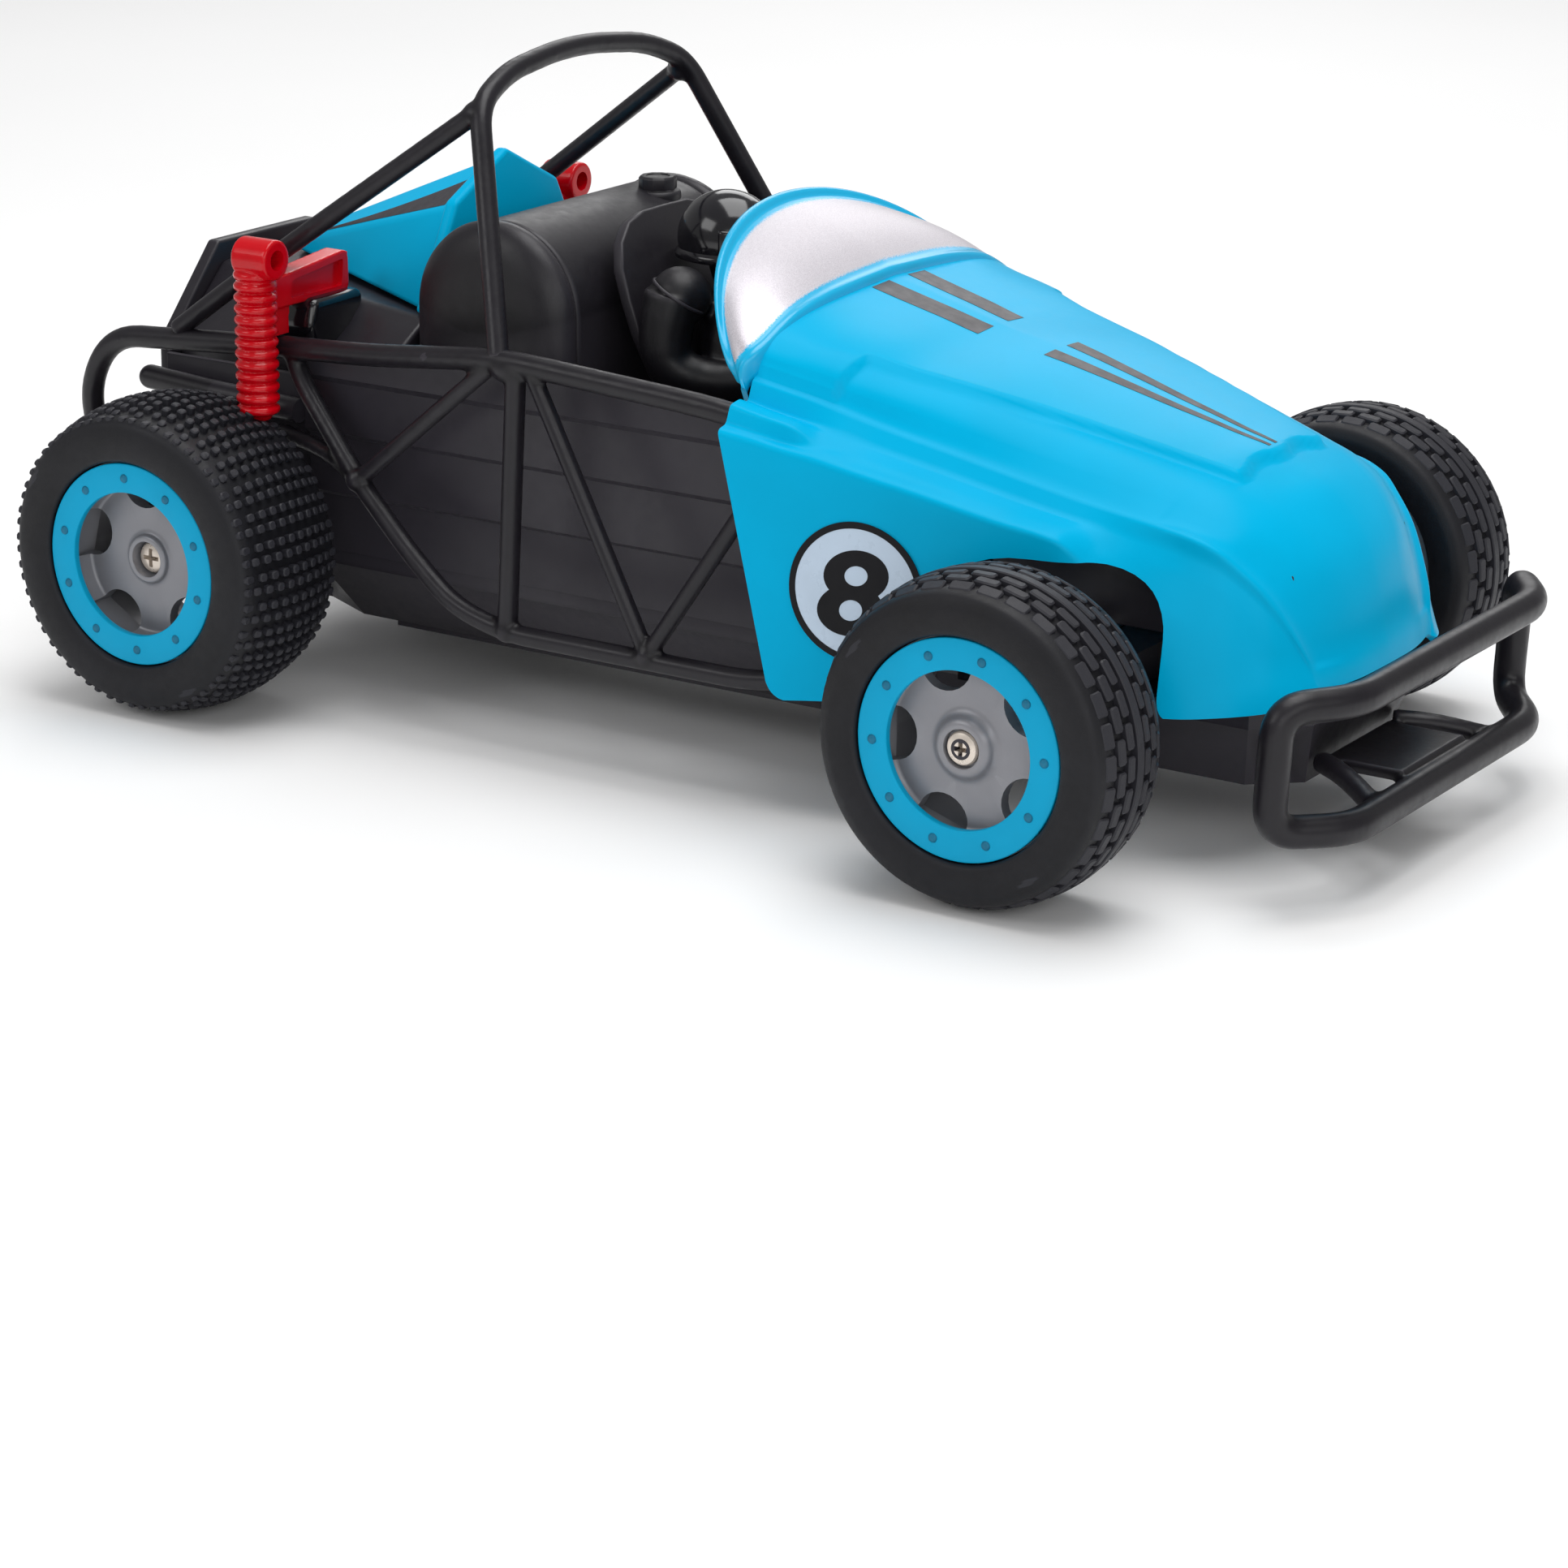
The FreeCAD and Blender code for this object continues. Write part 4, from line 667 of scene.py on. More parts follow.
# Each station of half the shell, mirrored for the other side: the centre line (x, z); then (x, y, z) of the hood's
# shoulder, the belt crease, the groove under it, the ledge's raised block (top and foot), the ledge's outer edge
# and the lower edge; then the bend lengths at shoulder and belt crease. A point written (y, z) is at the centre
# line's x.
SHELL_STATIONS = [
    ((132.0, 95.3), (46.8, 89.0), (50.2, 84.2), (51.8, 80.1), (131.6, 57.4, 80.7),
     (131.2, 58.3, 77.0), (131.0, 61.0, 76.3), (142.6, 59.6, 23.6), 5.0, 1.0),
    ((138.0, 93.7), (45.2, 87.9), (49.2, 82.8), (51.0, 78.6), (137.8, 57.0, 79.4),
     (137.6, 57.8, 76.0), (137.4, 60.1, 75.2), (146.5, 59.0, 24.1), 5.0, 0.9),
    ((144.5, 91.95), (44.0, 86.9), (48.0, 81.3), (50.2, 77.3), (144.3, 55.9, 77.9),
     (144.2, 56.5, 74.6), (144.0, 59.2, 74.1), (151.0, 58.2, 24.6), 5.0, 0.9),
    ((150.0, 90.5), (42.6, 86.0), (46.8, 79.7), (49.3, 76.6), (54.0, 74.7),
     (55.6, 74.0), (58.3, 73.0), (155.0, 57.6, 25.0), 5.0, 0.9),
    ((158.1, 88.3), (40.6, 84.5), (45.4, 77.4), (48.0, 74.3), (52.6, 72.9),
     (54.2, 72.3), (57.2, 71.4), (161.0, 56.8, 25.5), 5.0, 0.9),
    ((172.0, 85.1), (36.9, 81.8), (43.4, 74.1), (46.0, 71.1), (50.8, 69.9),
     (52.3, 69.4), (55.1, 68.6), (55.1, 26.5), 5.0, 0.9),
    ((188.0, 80.8), (33.2, 78.2), (41.4, 70.4), (43.9, 67.4), (48.4, 66.4),
     (49.9, 66.0), (52.8, 65.1), (52.8, 27.9), 5.0, 0.9),
    ((200.0, 77.4), (30.8, 75.2), (39.6, 67.6), (42.0, 64.7), (46.6, 63.9),
     (48.0, 63.6), (51.0, 62.9), (51.0, 28.9), 5.0, 0.9),
    ((206.0, 75.8), (29.5, 73.6), (38.8, 66.4), (40.6, 63.7), (43.5, 61.0),
     (45.2, 59.5), (47.6, 56.8), (50.2, 29.4), 5.0, 1.0),
    ((212.5, 74.0), (212.0, 28.1, 71.9), (211.0, 38.2, 65.5), (211.0, 39.6, 62.6), (211.0, 42.0, 59.6),
     (211.0, 43.6, 57.4), (211.0, 45.8, 53.4), (212.0, 49.3, 30.1), 5.0, 1.3),
    ((219.5, 72.2), (218.5, 26.7, 70.0), (216.5, 37.4, 64.5), (217.0, 38.6, 61.6), (217.5, 40.6, 57.8),
     (217.8, 41.6, 55.4), (218.5, 43.6, 50.4), (220.0, 48.2, 30.8), 5.0, 1.6),
    ((226.0, 69.8), (224.5, 25.6, 68.0), (221.5, 36.8, 63.5), (222.0, 37.8, 60.4), (222.8, 39.2, 56.4),
     (223.4, 39.9, 53.8), (224.4, 41.4, 48.4), (46.4, 31.1), 5.5, 1.9),
    ((232.3, 66.9), (230.0, 24.2, 65.2), (226.5, 35.8, 61.6), (227.0, 36.6, 58.6), (228.0, 37.6, 54.6),
     (228.6, 38.1, 52.0), (229.6, 39.3, 46.8), (231.2, 43.7, 31.5), 6.0, 2.2),
    ((237.2, 62.4), (234.9, 22.2, 61.2), (230.6, 34.1, 58.2), (231.2, 34.9, 55.4), (232.2, 35.7, 51.6),
     (232.8, 36.1, 49.2), (233.6, 37.0, 44.6), (235.2, 40.8, 31.8), 6.0, 2.4),
    ((241.3, 55.9), (239.2, 19.8, 55.4), (235.0, 31.8, 53.6), (235.5, 32.6, 51.0), (236.3, 33.4, 47.6),
     (236.8, 33.8, 45.4), (237.4, 34.7, 41.4), (238.6, 37.6, 32.1), 6.0, 2.4),
    ((243.7, 48.5), (242.1, 17.6, 48.3), (238.7, 29.2, 47.6), (239.2, 29.9, 45.4), (239.7, 30.6, 42.6),
     (240.0, 31.0, 40.9), (240.4, 31.8, 38.0), (241.2, 33.8, 32.4), 6.0, 2.2),
    ((245.2, 41.5), (244.2, 15.6, 41.3), (241.7, 26.9, 41.2), (242.0, 27.4, 39.8), (242.3, 27.9, 38.0),
     (242.5, 28.2, 37.0), (242.7, 28.8, 35.3), (243.2, 30.2, 32.6), 6.0, 1.8),
    ((246.3, 36.8), (245.6, 14.2, 36.5), (243.5, 25.2, 36.0), (243.7, 25.6, 35.4), (243.9, 25.9, 34.7),
     (244.0, 26.1, 34.3), (244.1, 26.4, 33.8), (244.4, 27.1, 32.9), 6.0, 1.0),
    ((246.7, 34.3), (246.1, 13.6, 34.0), (244.2, 24.3, 33.5), (244.4, 24.5, 33.4), (244.5, 24.7, 33.3),
     (244.6, 24.9, 33.25), (244.7, 25.1, 33.2), (244.9, 25.6, 33.1), 6.0, 0.5),
]
SHELL_WALL = 1.6
RIBS = {"outer": 190, "inner": 60}   # cross ribs along each skin
# How many parts each run of a rib is split into, by the run's index, so that the raised panel has points to bend at.
SPLITS = {"outer": {0: 44, 6: 10, 12: 5, 48: 12}, "inner": {0: 8, 4: 2}}
PANEL_POINTS = 62   # the rib points from the centre line outwards that can belong to the raised panel
PANEL_RISE = 1.7   # how far the hood's raised centre panel stands above its shoulders


def panel_edge(x):
    """Half-width of the raised panel: full width behind the windscreen, then tapering towards the nose."""
    if x < 147.5:
        return 60.0
    if x < 150.5:
        return lerp(48.0, 37.2, (x - 147.5) / 3.0)
    return 37.2 - 0.272 * (x - 150.5)


def panel_front(y):
    """The panel's wavy front edge."""
    return 221.2 + 0.7 * math.cos(abs(y) / 16.5 * 2 * math.pi)


def panel_height(x, y):
    side = smoothstep(-0.9, 0.7, panel_edge(x) - abs(y)) if x > 146.0 else 1.0
    return PANEL_RISE * side * smoothstep(-0.6, 0.6, panel_front(y) - x)


CROWN = Monotone([132.0, 140.0, 150.0, 160.0, 172.0, 215.0, 240.0, 250.0],
                 [[4.4], [3.4], [2.4], [0.8], [0.3], [0.3], [0.0], [0.0]])


def crowned(points, row):
    """Bulges the hood upwards between its shoulders, and rounds off its nose at the centre line."""
    centre, shoulder = Vector((row[0], 0, row[1])), Vector(row[2:5])
    height = CROWN(row[0])[0]
    round_off = smoothstep(155, 180, row[0])
    result = []
    for p in points:
        s = min(abs(p.y) / shoulder.y, 1.0)
        slide = (shoulder - centre) * (s ** 1.6 - s) * round_off
        result.append(p + Vector((slide.x, 0, slide.z + height * s * (1 - s ** 4))))
    return result


def shell_rib(row, inner):
    """One cross rib from the centre line to the lower edge, from an interpolated station row."""
    centre, shoulder, belt, groove, block_top, block_foot, ledge, foot = station_points(row)
    shoulder_bend, belt_bend = row[23], row[24]
    if inner:
        corners = [centre, shoulder, belt, groove, ledge, foot]
        return rounded(corners, [0, shoulder_bend, 2.0, 1.5, 2.5, 0], 3)
    ridge = smoothstep(1.2, 2.0, belt_bend)
    if belt_bend > 1.5:
        lip = belt.lerp(shoulder, 0.14) - Vector((0.3, 0.5, 0))
    else:
        lip = belt + Vector((0, -1.5, 0.75))
    belt = belt + Vector((0.4, 0.9, 0.2)) * ridge
    block_inner = groove.lerp(block_top, 0.43) + Vector((0, 0, 0.95 * (1 - smoothstep(142.0, 149.0, groove.x))))
    corners = [centre, shoulder, lip, belt, groove, block_inner, block_top, block_foot, ledge, foot]
    bends = [0, shoulder_bend, 1.5, belt_bend * 0.55, 1.1, 0.8, 0.8, 0.8, 1.2, 0]
    return rounded(corners, bends, 5)


def refine(points, splits):
    """Splits each run of the line into equal parts; runs that splits doesn't name stay whole."""
    result = [points[0]]
    for i, (a, b) in enumerate(zip(points, points[1:])):
        parts = splits.get(i, 1)
        result += [a.lerp(b, k / parts) for k in range(1, parts + 1)]
    return result


def station_points(row):
    """The eight points of an interpolated station row, from the centre line to the lower edge."""
    return [Vector((row[0], 0, row[1]))] + [Vector(row[2 + 3 * k:5 + 3 * k]) for k in range(7)]


def offset_rows(rows, distance):
    """Stations moved inwards along the shell's local normal."""
    grids = [station_points(row) for row in rows]
    result = []
    for i, (row, grid) in enumerate(zip(rows, grids)):
        ahead, behind = grids[min(i + 1, len(grids) - 1)], grids[max(i - 1, 0)]
        new = list(row)
        for j in range(8):
            along = ahead[j] - behind[j]
            if along.length < 1e-6:
                along = Vector((1, 0, 0))
            first, second = grid[max(j - 1, 0)], grid[min(j + 1, 7)]
            across = Vector((0, 1, 0)) if j == 0 else second - first
            normal = along.cross(across).normalized()
            spot = grid[j] - normal * distance
            if j == 7:
                spot.z = grid[j].z
            if i == 0:
                spot.x = grid[j].x
            if j == 0:
                new[0], new[1] = spot.x, spot.z
            else:
                new[3 * j - 1:3 * j + 2] = spot
        result.append(new)
    return result


def flat_row(station):
    """A station as one plain row of numbers."""
    (x, z), *points, shoulder_bend, belt_bend = station
    full = [p if len(p) == 3 else (x, *p) for p in points]
    return [x, z] + [v for p in full for v in p] + [shoulder_bend, belt_bend]


def shell_surface(rows, inner):
    """Ribs across the whole shell, from its right lower edge to its left."""
    skin = "inner" if inner else "outer"
    knots = [0.0]
    for a, b in zip(rows, rows[1:]):
        knots.append(knots[-1] + math.dist(a[:2], b[:2]))
    curve = Monotone(knots, rows)
    ribs = []
    for i in range(RIBS[skin] + 1):
        row = curve(knots[-1] * i / RIBS[skin])
        half = crowned(refine(shell_rib(row, inner), SPLITS[skin]), row)
        if not inner:
            half = [p + Vector((0, 0, panel_height(p.x, p.y))) if p.z > 60 and k < PANEL_POINTS else p
                    for k, p in enumerate(half)]
        ribs.append([Vector((p.x, -p.y, p.z)) for p in reversed(half[1:])] + half)
    return ribs


def border(rows, columns, first):
    """The grid's four edges as point numbers, in order round it."""
    top = [first + j for j in range(columns)]
    right = [first + i * columns + columns - 1 for i in range(1, rows)]
    bottom = [first + (rows - 1) * columns + j for j in range(columns - 2, -1, -1)]
    left = [first + i * columns for i in range(rows - 2, 0, -1)]
    return top, right, bottom, left


def shell_solid():
    """The outer and inner skins, closed round their edges by a strip of faces."""
    rows = [flat_row(s) for s in SHELL_STATIONS]
    outer, inner = shell_surface(rows, False), shell_surface(offset_rows(rows, SHELL_WALL), True)
    verts = [p for rib in outer + inner for p in rib]
    base = len(outer) * len(outer[0])
    faces = grid_faces(len(outer), len(outer[0]))
    faces += [tuple(reversed(f)) for f in grid_faces(len(inner), len(inner[0]), first=base)]
    edges_out = border(len(outer), len(outer[0]), 0)
    edges_in = border(len(inner), len(inner[0]), base)
    for out, inn in zip(edges_out, edges_in):
        i = j = 0
        while i < len(out) - 1 or j < len(inn) - 1:
            share_out, share_in = (i + 1) / max(len(out) - 1, 1), (j + 1) / max(len(inn) - 1, 1)
            if j >= len(inn) - 1 or (i < len(out) - 1 and share_out <= share_in):
                faces.append((out[i + 1], out[i], inn[j]))
                i += 1
            else:
                faces.append((out[i], inn[j], inn[j + 1]))
                j += 1
    for k in range(4):
        after = (k + 1) % 4
        faces.append((edges_out[after][0], edges_out[k][-1], edges_in[k][-1], edges_in[after][0]))
    return verts, faces


def arch_tool():
    """Cuts both front wheel arches."""
    points = [(172.5, 5), (172.5, 58.6), (219.6, 58.6), (221.0, 30.6), (227.0, 30.6), (227.0, 5)]
    outline = rounded_outline(points, [0, 24.0, 18.0, 4.6, 0, 0], 10, closed=True)
    return make_object("arch_tool", prism(outline, -80, 80, "y"))


def corner_tool():
    """Rounds the lower rear corner of the side panels."""
    curve = rounded_outline([(139.6, 36.0), (142.7, 23.4), (158.0, 25.1)], [0, 5.0, 0], 8)
    outline = curve[1:-1] + [(148.0, 12.0), (132.0, 12.0), (134.0, 28.0)]
    return make_object("corner_tool", prism(outline, -80, 80, "y"))


shell = make_object("body_shell_look", shell_solid())
carved(shell, [arch_tool(), corner_tool()])
finish_piece(shell, "blue_plastic", ["body_shell"], 50)
bpy.context.view_layer.update()
SHELL_TREE = BVHTree.FromObject(shell, bpy.context.evaluated_depsgraph_get())


# ---------------------------------------------------------------- windscreen
RIM_HALF, RIM_RISE, RIM_Z, RIM_LEAN, RIM_FOOT = 50.4, 29.6, 80.0, 0.86, 105.2
RIM_SWEEP = math.radians(84.5)   # angle from the top of the rim to each foot
SCREEN_STEPS, SCREEN_BULGE = 120, 1.1
BASE_LINE = Monotone([0, 0.25, 0.45, 0.62, 0.76, 0.86, 0.93, 1.0],
                     [[132.2, 0, 98.4], [132.2, 20.5, 97.4], [132.2, 35.5, 95.2], [131.9, 45.2, 91.4],
                      [130.9, 49.6, 89.1], [129.9, 51.0, 87.3], [129.6, 51.5, 85.5], [130.6, 51.6, 82.8]])


def rim_point(t):
    """The rim's centre line; t runs from -1 at the right foot to 1 at the left."""
    a = RIM_SWEEP * t
    y, z = RIM_HALF * math.sin(a), RIM_Z + RIM_RISE * math.cos(a)
    return Vector((RIM_FOOT + RIM_LEAN * (111.6 - z), y, z))


def base_point(t):
    """Where the screen meets the hood, below rim_point(t)."""
    x, y, z = BASE_LINE(abs(t))
    return Vector((x, math.copysign(y, t), z))


def screen_solid():
    """Cross sections of bead, pane and base ridge along the rim, and each point's share of silver paint."""
    sections, silver = [], []
    for i in range(SCREEN_STEPS + 1):
        t = 2 * i / SCREEN_STEPS - 1
        top, foot = rim_point(t), base_point(t)
        down = foot - top
        length = max(down.length, 2.5)
        down.normalize()
        around = (rim_point(min(t + 0.01, 1)) - rim_point(max(t - 0.01, -1))).normalized()
        out = around.cross(down).normalized()
        if out.dot(Vector((0.4, math.sin(RIM_SWEEP * t), math.cos(RIM_SWEEP * t)))) < 0:
            out.negate()
        bead = 0.72 * min(1.0, length / 3.5)
        lower = min(1.0, length / 7)
        profile = [(0.4, -1.7), (-0.9 * bead, -1.1), (-1.5 * bead, 0.1), (-1.0 * bead, 1.3 * bead),
                   (0.2, 1.75 * bead), (1.3 * bead, 1.35 * bead), (2.0 * bead, 0.45), (2.9 * bead, 0.1)]
        for k in range(1, 10):
            u = k / 10
            s = lerp(2.9 * bead, length - 0.6 * lower, u)
            profile.append((s, 0.1 + SCREEN_BULGE * min(1, length / 24) * math.sin(math.pi * u)))
        profile += [(length - 0.6 * lower, 0.1), (length - 0.2 * lower, 0.25 * lower), (length + 0.2, 0.3 * lower)]
        section = [top + down * s + out * h for s, h in profile]
        drop = Vector((0, -0.3 * math.sin(math.radians(80) * t), -1)).normalized()
        ridge = foot + down * 0.2 + out * 0.3 * lower
        for ahead, below in ((0.4, 0.15), (0.8, 0.5), (1.1, 1.1), (1.5, 5.5), (0.1, 6.0)):
            section.append(ridge + Vector((ahead, 0, 0)) + drop * below)
        section.append(top + down * length * 0.5 - out * 1.6)
        sections.append(section)
        profile += [(0, -1)] * 6
        for s, h in profile:
            inside = min(s - 3.0 * bead, length - 0.9 * lower - s) / 1.4
            fade = smoothstep(3.0, 7.0, length)
            silver.append(min(max(inside, 0.0), 1.0) * fade if h > -0.5 else 0.0)
    return loft(sections), silver


screen, silver_amount = screen_solid()
screen_look = mesh_object("windscreen_look", [to_car(v) for v in screen[0]], screen[1])
silver_layer = screen_look.data.attributes.new("silver", "FLOAT", "POINT")
silver_layer.data.foreach_set("value", silver_amount)
face_outwards(screen_look)
subdivide = screen_look.modifiers.new("Subdivide", "SUBSURF")
subdivide.levels = subdivide.render_levels = 1
bake(screen_look)
finish_piece(screen_look, "windscreen_paint", ["windscreen"], 60, look="screen")


# ---------------------------------------------------------------- printed decals
FILM_LIFT, FILM_THICKNESS = 0.05, 0.06


def drape(name, outline_rows, tree, direction, start=0):
    """Rows of (x, y, z) points dropped on a surface along a direction, as a thin printed film just off it."""
    verts = []
    for row in outline_rows:
        for point in row:
            origin = to_car(point) - Vector(direction) * start * MM
            hit, normal, _, _ = tree.ray_cast(origin, Vector(direction))
            if hit is None:
                hit, normal = to_car(point), -Vector(direction)
            verts.append(hit + normal * FILM_LIFT * MM)
    obj = mesh_object(name, verts, grid_faces(len(outline_rows), len(outline_rows[0])))
    thick = obj.modifiers.new("Film", "SOLIDIFY")
    thick.thickness = FILM_THICKNESS * MM
    thick.offset = 0
    return finish_piece(bake(obj), "sticker", smooth=30, look="stripe")


def strip(x0, x1, inner0, outer0, inner1, outer1, side, rows=40, columns=6):
    """A tapering stripe along the hood as rows of points, seen from above."""
    result = []
    for i in range(rows + 1):
        t = i / rows
        x = lerp(x0, x1, t)
        inner, outer = lerp(inner0, inner1, t), lerp(outer0, outer1, t)
        result.append([(x, side * lerp(inner, outer, k / columns), 120.0) for k in range(columns + 1)])
    return result


for side_name, side in SIDES.items():
    upper = strip(134.4, 158.4, 3.6, 10.2, 2.9, 9.1, side)
    drape(f"hood_stripe_upper_{side_name}", upper, SHELL_TREE, (0, 0, -1))
    lower = strip(172.2, 219.6, 2.3, 6.9, 0.75, 1.8, side, 70)
    drape(f"hood_stripe_lower_{side_name}", lower, SHELL_TREE, (0, 0, -1))

NUMERAL_OVALS = ((0.0, 3.35, 6.75, 5.15), (0.0, -3.6, 7.0, 5.2))   # centre and radii of the 8's two ovals
NUMERAL_SLANT = 0.147
ROUNDEL = dict(x=160.4, z=47.6, radius=14.0, ring=1.3)


def numeral_outline(steps=72):
    """Outer edge of an 8 made of two overlapping ovals, seen from the waist where they meet."""
    outline = []
    for k in range(steps):
        a = 2 * math.pi * k / steps
        direction = (math.cos(a), math.sin(a))
        best = 0.0
        for cx, cy, rx, ry in NUMERAL_OVALS:
            px, py = -cx / rx, -cy / ry
            dx, dy = direction[0] / rx, direction[1] / ry
            qa, qb, qc = dx * dx + dy * dy, 2 * (px * dx + py * dy), px * px + py * py - 1
            root = qb * qb - 4 * qa * qc
            if root >= 0:
                best = max(best, (-qb + math.sqrt(root)) / (2 * qa))
        outline.append((direction[0] * best, direction[1] * best))
    return outline


def oval(cx, cy, rx, ry, steps=40):
    return [(cx + rx * math.cos(2 * math.pi * k / steps), cy + ry * math.sin(2 * math.pi * k / steps))
            for k in range(steps)]


def flat_shape(name, loops, thickness):
    """A flat plate from closed loops: the first is the edge, the rest are holes."""
    curve = bpy.data.curves.new(name, "CURVE")
    curve.dimensions = "2D"
    curve.fill_mode = "BOTH"
    curve.extrude = thickness / 2
    for loop in loops:
        spline = curve.splines.new("POLY")
        spline.points.add(len(loop) - 1)
        for point, (u, v) in zip(spline.points, loop):
            point.co = (u, v, 0, 1)
        spline.use_cyclic_u = True
    drawn = new_object(name, curve)
    mesh = evaluated_mesh(drawn)
    bpy.data.objects.remove(drawn)
    return new_object(name, mesh)


def add_roundel(side_name, side):
    """White disc, black ring and a slanted 8, as three thin plates on the shell's side."""
    lean = math.atan(SIDE_SLOPE)
    outward = Vector((math.sin(lean), side * math.cos(lean), 0))
    forward = Vector((math.cos(lean), -side * math.sin(lean), 0))
    across = forward if side < 0 else -forward
    radius, ring = ROUNDEL["radius"], ROUNDEL["ring"]
    base = Vector((ROUNDEL["x"], side * side_y(ROUNDEL["x"]), ROUNDEL["z"]))
    numeral = [[(u + NUMERAL_SLANT * v - 0.47, v) for u, v in loop] for loop in
               (numeral_outline(), oval(0, 3.35, 2.4, 2.0), oval(0, -3.6, 2.4, 2.1))]
    layers = [("disc", [oval(0, 0, radius - 0.2, radius - 0.2, 96)], 0.20, 0.16, "print_white"),
              ("ring", [oval(0, 0, radius, radius, 96), oval(0, 0, radius - ring, radius - ring, 96)], 0.22, 0.2,
               "print_black"),
              ("numeral", numeral, 0.22, 0.2, "print_black")]
    pieces = []
    for part, loops, thickness, lift, look in layers:
        obj = flat_shape(f"roundel_{part}_{side_name}", loops, thickness)
        for vert in obj.data.vertices:
            u, v, w = vert.co
            vert.co = to_car(base + across * u + Vector((0, 0, 1)) * v + outward * (w + lift))
        pieces.append(finish_piece(obj, "sticker", smooth=30, look=look))
    return pieces


roundels = [add_roundel(name, side) for name, side in SIDES.items()]
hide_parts("number_stickers")


# ---------------------------------------------------------------- tubular cage, hoop and bumper
CAGE_Y = -56.0
REAR_JOINT = (37.3, -53.0, 51.0)     # where the lower rail meets the rear diagonals
V_BOTTOM = (111.5, CAGE_Y, 26.5)     # foot of the two front diagonals
HOOP_FOOT = (75.6, CAGE_Y, 82.0)


def bar(points, radius, bend=6.0, sides=16):
    return sweep(rounded(points, bend, 7), radius, sides)


def cage_solid():
    """The right-hand side cage: top rail, lower rail, straight bars between them, and balls at the joints."""
    rail = [(133.0, -55.3, 77.9), (124.0, CAGE_Y, 79.2), (76.0, CAGE_Y, 82.0), (39.0, -51.5, 77.2),
            (9.5, -47.0, 74.6), (-33.5, -46.5, 71.3), (-41.4, -46.0, 58.0), (-39.0, -40.0, 33.0), (-22.0, -24.5, 27.6)]
    lower = [(148.0, CAGE_Y, 28.0), (136.0, CAGE_Y, 25.5), (77.1, CAGE_Y, 25.5), (63.9, CAGE_Y, 29.0),
             (51.6, -54.6, 38.0), REAR_JOINT, (19.7, -48.4, 68.3), (16.5, -47.8, 74.6)]
    straight = [((79.8, CAGE_Y, 81.0), (77.1, CAGE_Y, 25.5), 2.2), (HOOP_FOOT, REAR_JOINT, 1.8),
                ((83.6, CAGE_Y, 80.5), V_BOTTOM, 1.8), (V_BOTTOM, (136.0, CAGE_Y, 62.5), 1.8)]
    solids = [bar(rail, 2.45, 8.0), bar(lower, 2.1), bar([REAR_JOINT, (27.8, -50.0, 54.8), (12.0, -46.2, 56.5)], 1.8)]
    solids += [bar([start, end], radius) for start, end, radius in straight]
    solids += [ball(REAR_JOINT, 2.7), ball(V_BOTTOM, 2.6), ball((77.5, CAGE_Y, 80.4), (4.2, 2.6, 3.0)),
               ball((77.1, CAGE_Y, 26.0), 2.6)]
    return joined(solids)


for side_name, side in SIDES.items():
    solid = cage_solid() if side < 0 else flipped(cage_solid())
    add_piece(f"side_cage_look_{side_name}", solid, "black_plastic", [f"side_cage_{side_name}"], 70, mould=(0.55, 5))

hoop_path = [HOOP_FOOT, (57.6, -37.2, 128.3), (55.6, -25.0, 133.2), (54.4, 0.0, 135.9), (55.6, 25.0, 133.2),
             (57.6, 37.2, 128.3), (HOOP_FOOT[0], -HOOP_FOOT[1], HOOP_FOOT[2])]
brace = bar([(57.4, -37.5, 127.0), (4.0, -45.4, 89.0), (-15.0, -47.0, 74.8)], 2.1, 25.0)
gusset = ball((56.6, -37.0, 126.2), 2.9)
hoop_solids = [bar(hoop_path, 2.25, [0, 5.5, 6.5, 12.0, 6.5, 5.5, 0]), brace, flipped(brace), gusset, flipped(gusset)]
add_piece("roll_hoop_look", joined(hoop_solids), "black_plastic", ["roll_hoop"], 70, mould=(0.55, 5))

half_loop = [(259.0, 0, 39.0), (259.0, 40.3, 39.0), (249.5, 54.0, 39.0), (248.5, 54.0, 15.0), (259.0, 40.3, 14.0),
             (259.0, 0, 14.0)]
loop = bar(half_loop, 3.3, 6.0, 20)
bumper_solids = [loop, flipped(loop)]
for y in (-27, 27):
    bumper_solids.append(bar([(258.0, y, 14.0), (248.0, y * 0.75, 17.0), (240.6, y * 0.6, 17.6)], 2.2))
bumper_solids.append(block((240.4, -14.0, 15.6), (257.0, 14.0, 18.0)))
add_piece("front_bumper_look", joined(bumper_solids), "black_plastic", ["front_bumper"], 70, mould=(0.6, 5))


# ---------------------------------------------------------------- rear deck and tail cowl
def half_to_full(points):
    """A half outline, from the top of the middle line to its bottom, with its mirror image added."""
    return points + [(-u, v) for u, v in reversed(points) if u > 0]


def section_at(x, outline):
    return [(x, u, v) for u, v in outline]


for side_name, side in SIDES.items():
    skirt = block((-24.0, side * 38.6, 43.0), (36.0, side * 40.2, 67.5))
    add_piece(f"deck_skirt_{side_name}", skirt, "black_plastic", bevel=(0.4, 2))
    wall = [(172.0, 40.2), (172.0, 53.5), (185.5, 53.5), (185.5, 77.5), (205.0, 72.0), (222.0, 67.0), (231.0, 62.0),
            (237.0, 55.5), (240.0, 47.0), (240.0, 40.2)]
    liner = prism(wall, side * 23.4, side * 24.8, "y")
    add_piece(f"hood_liner_{side_name}", liner, "black_plastic", bevel=(0.3, 2))

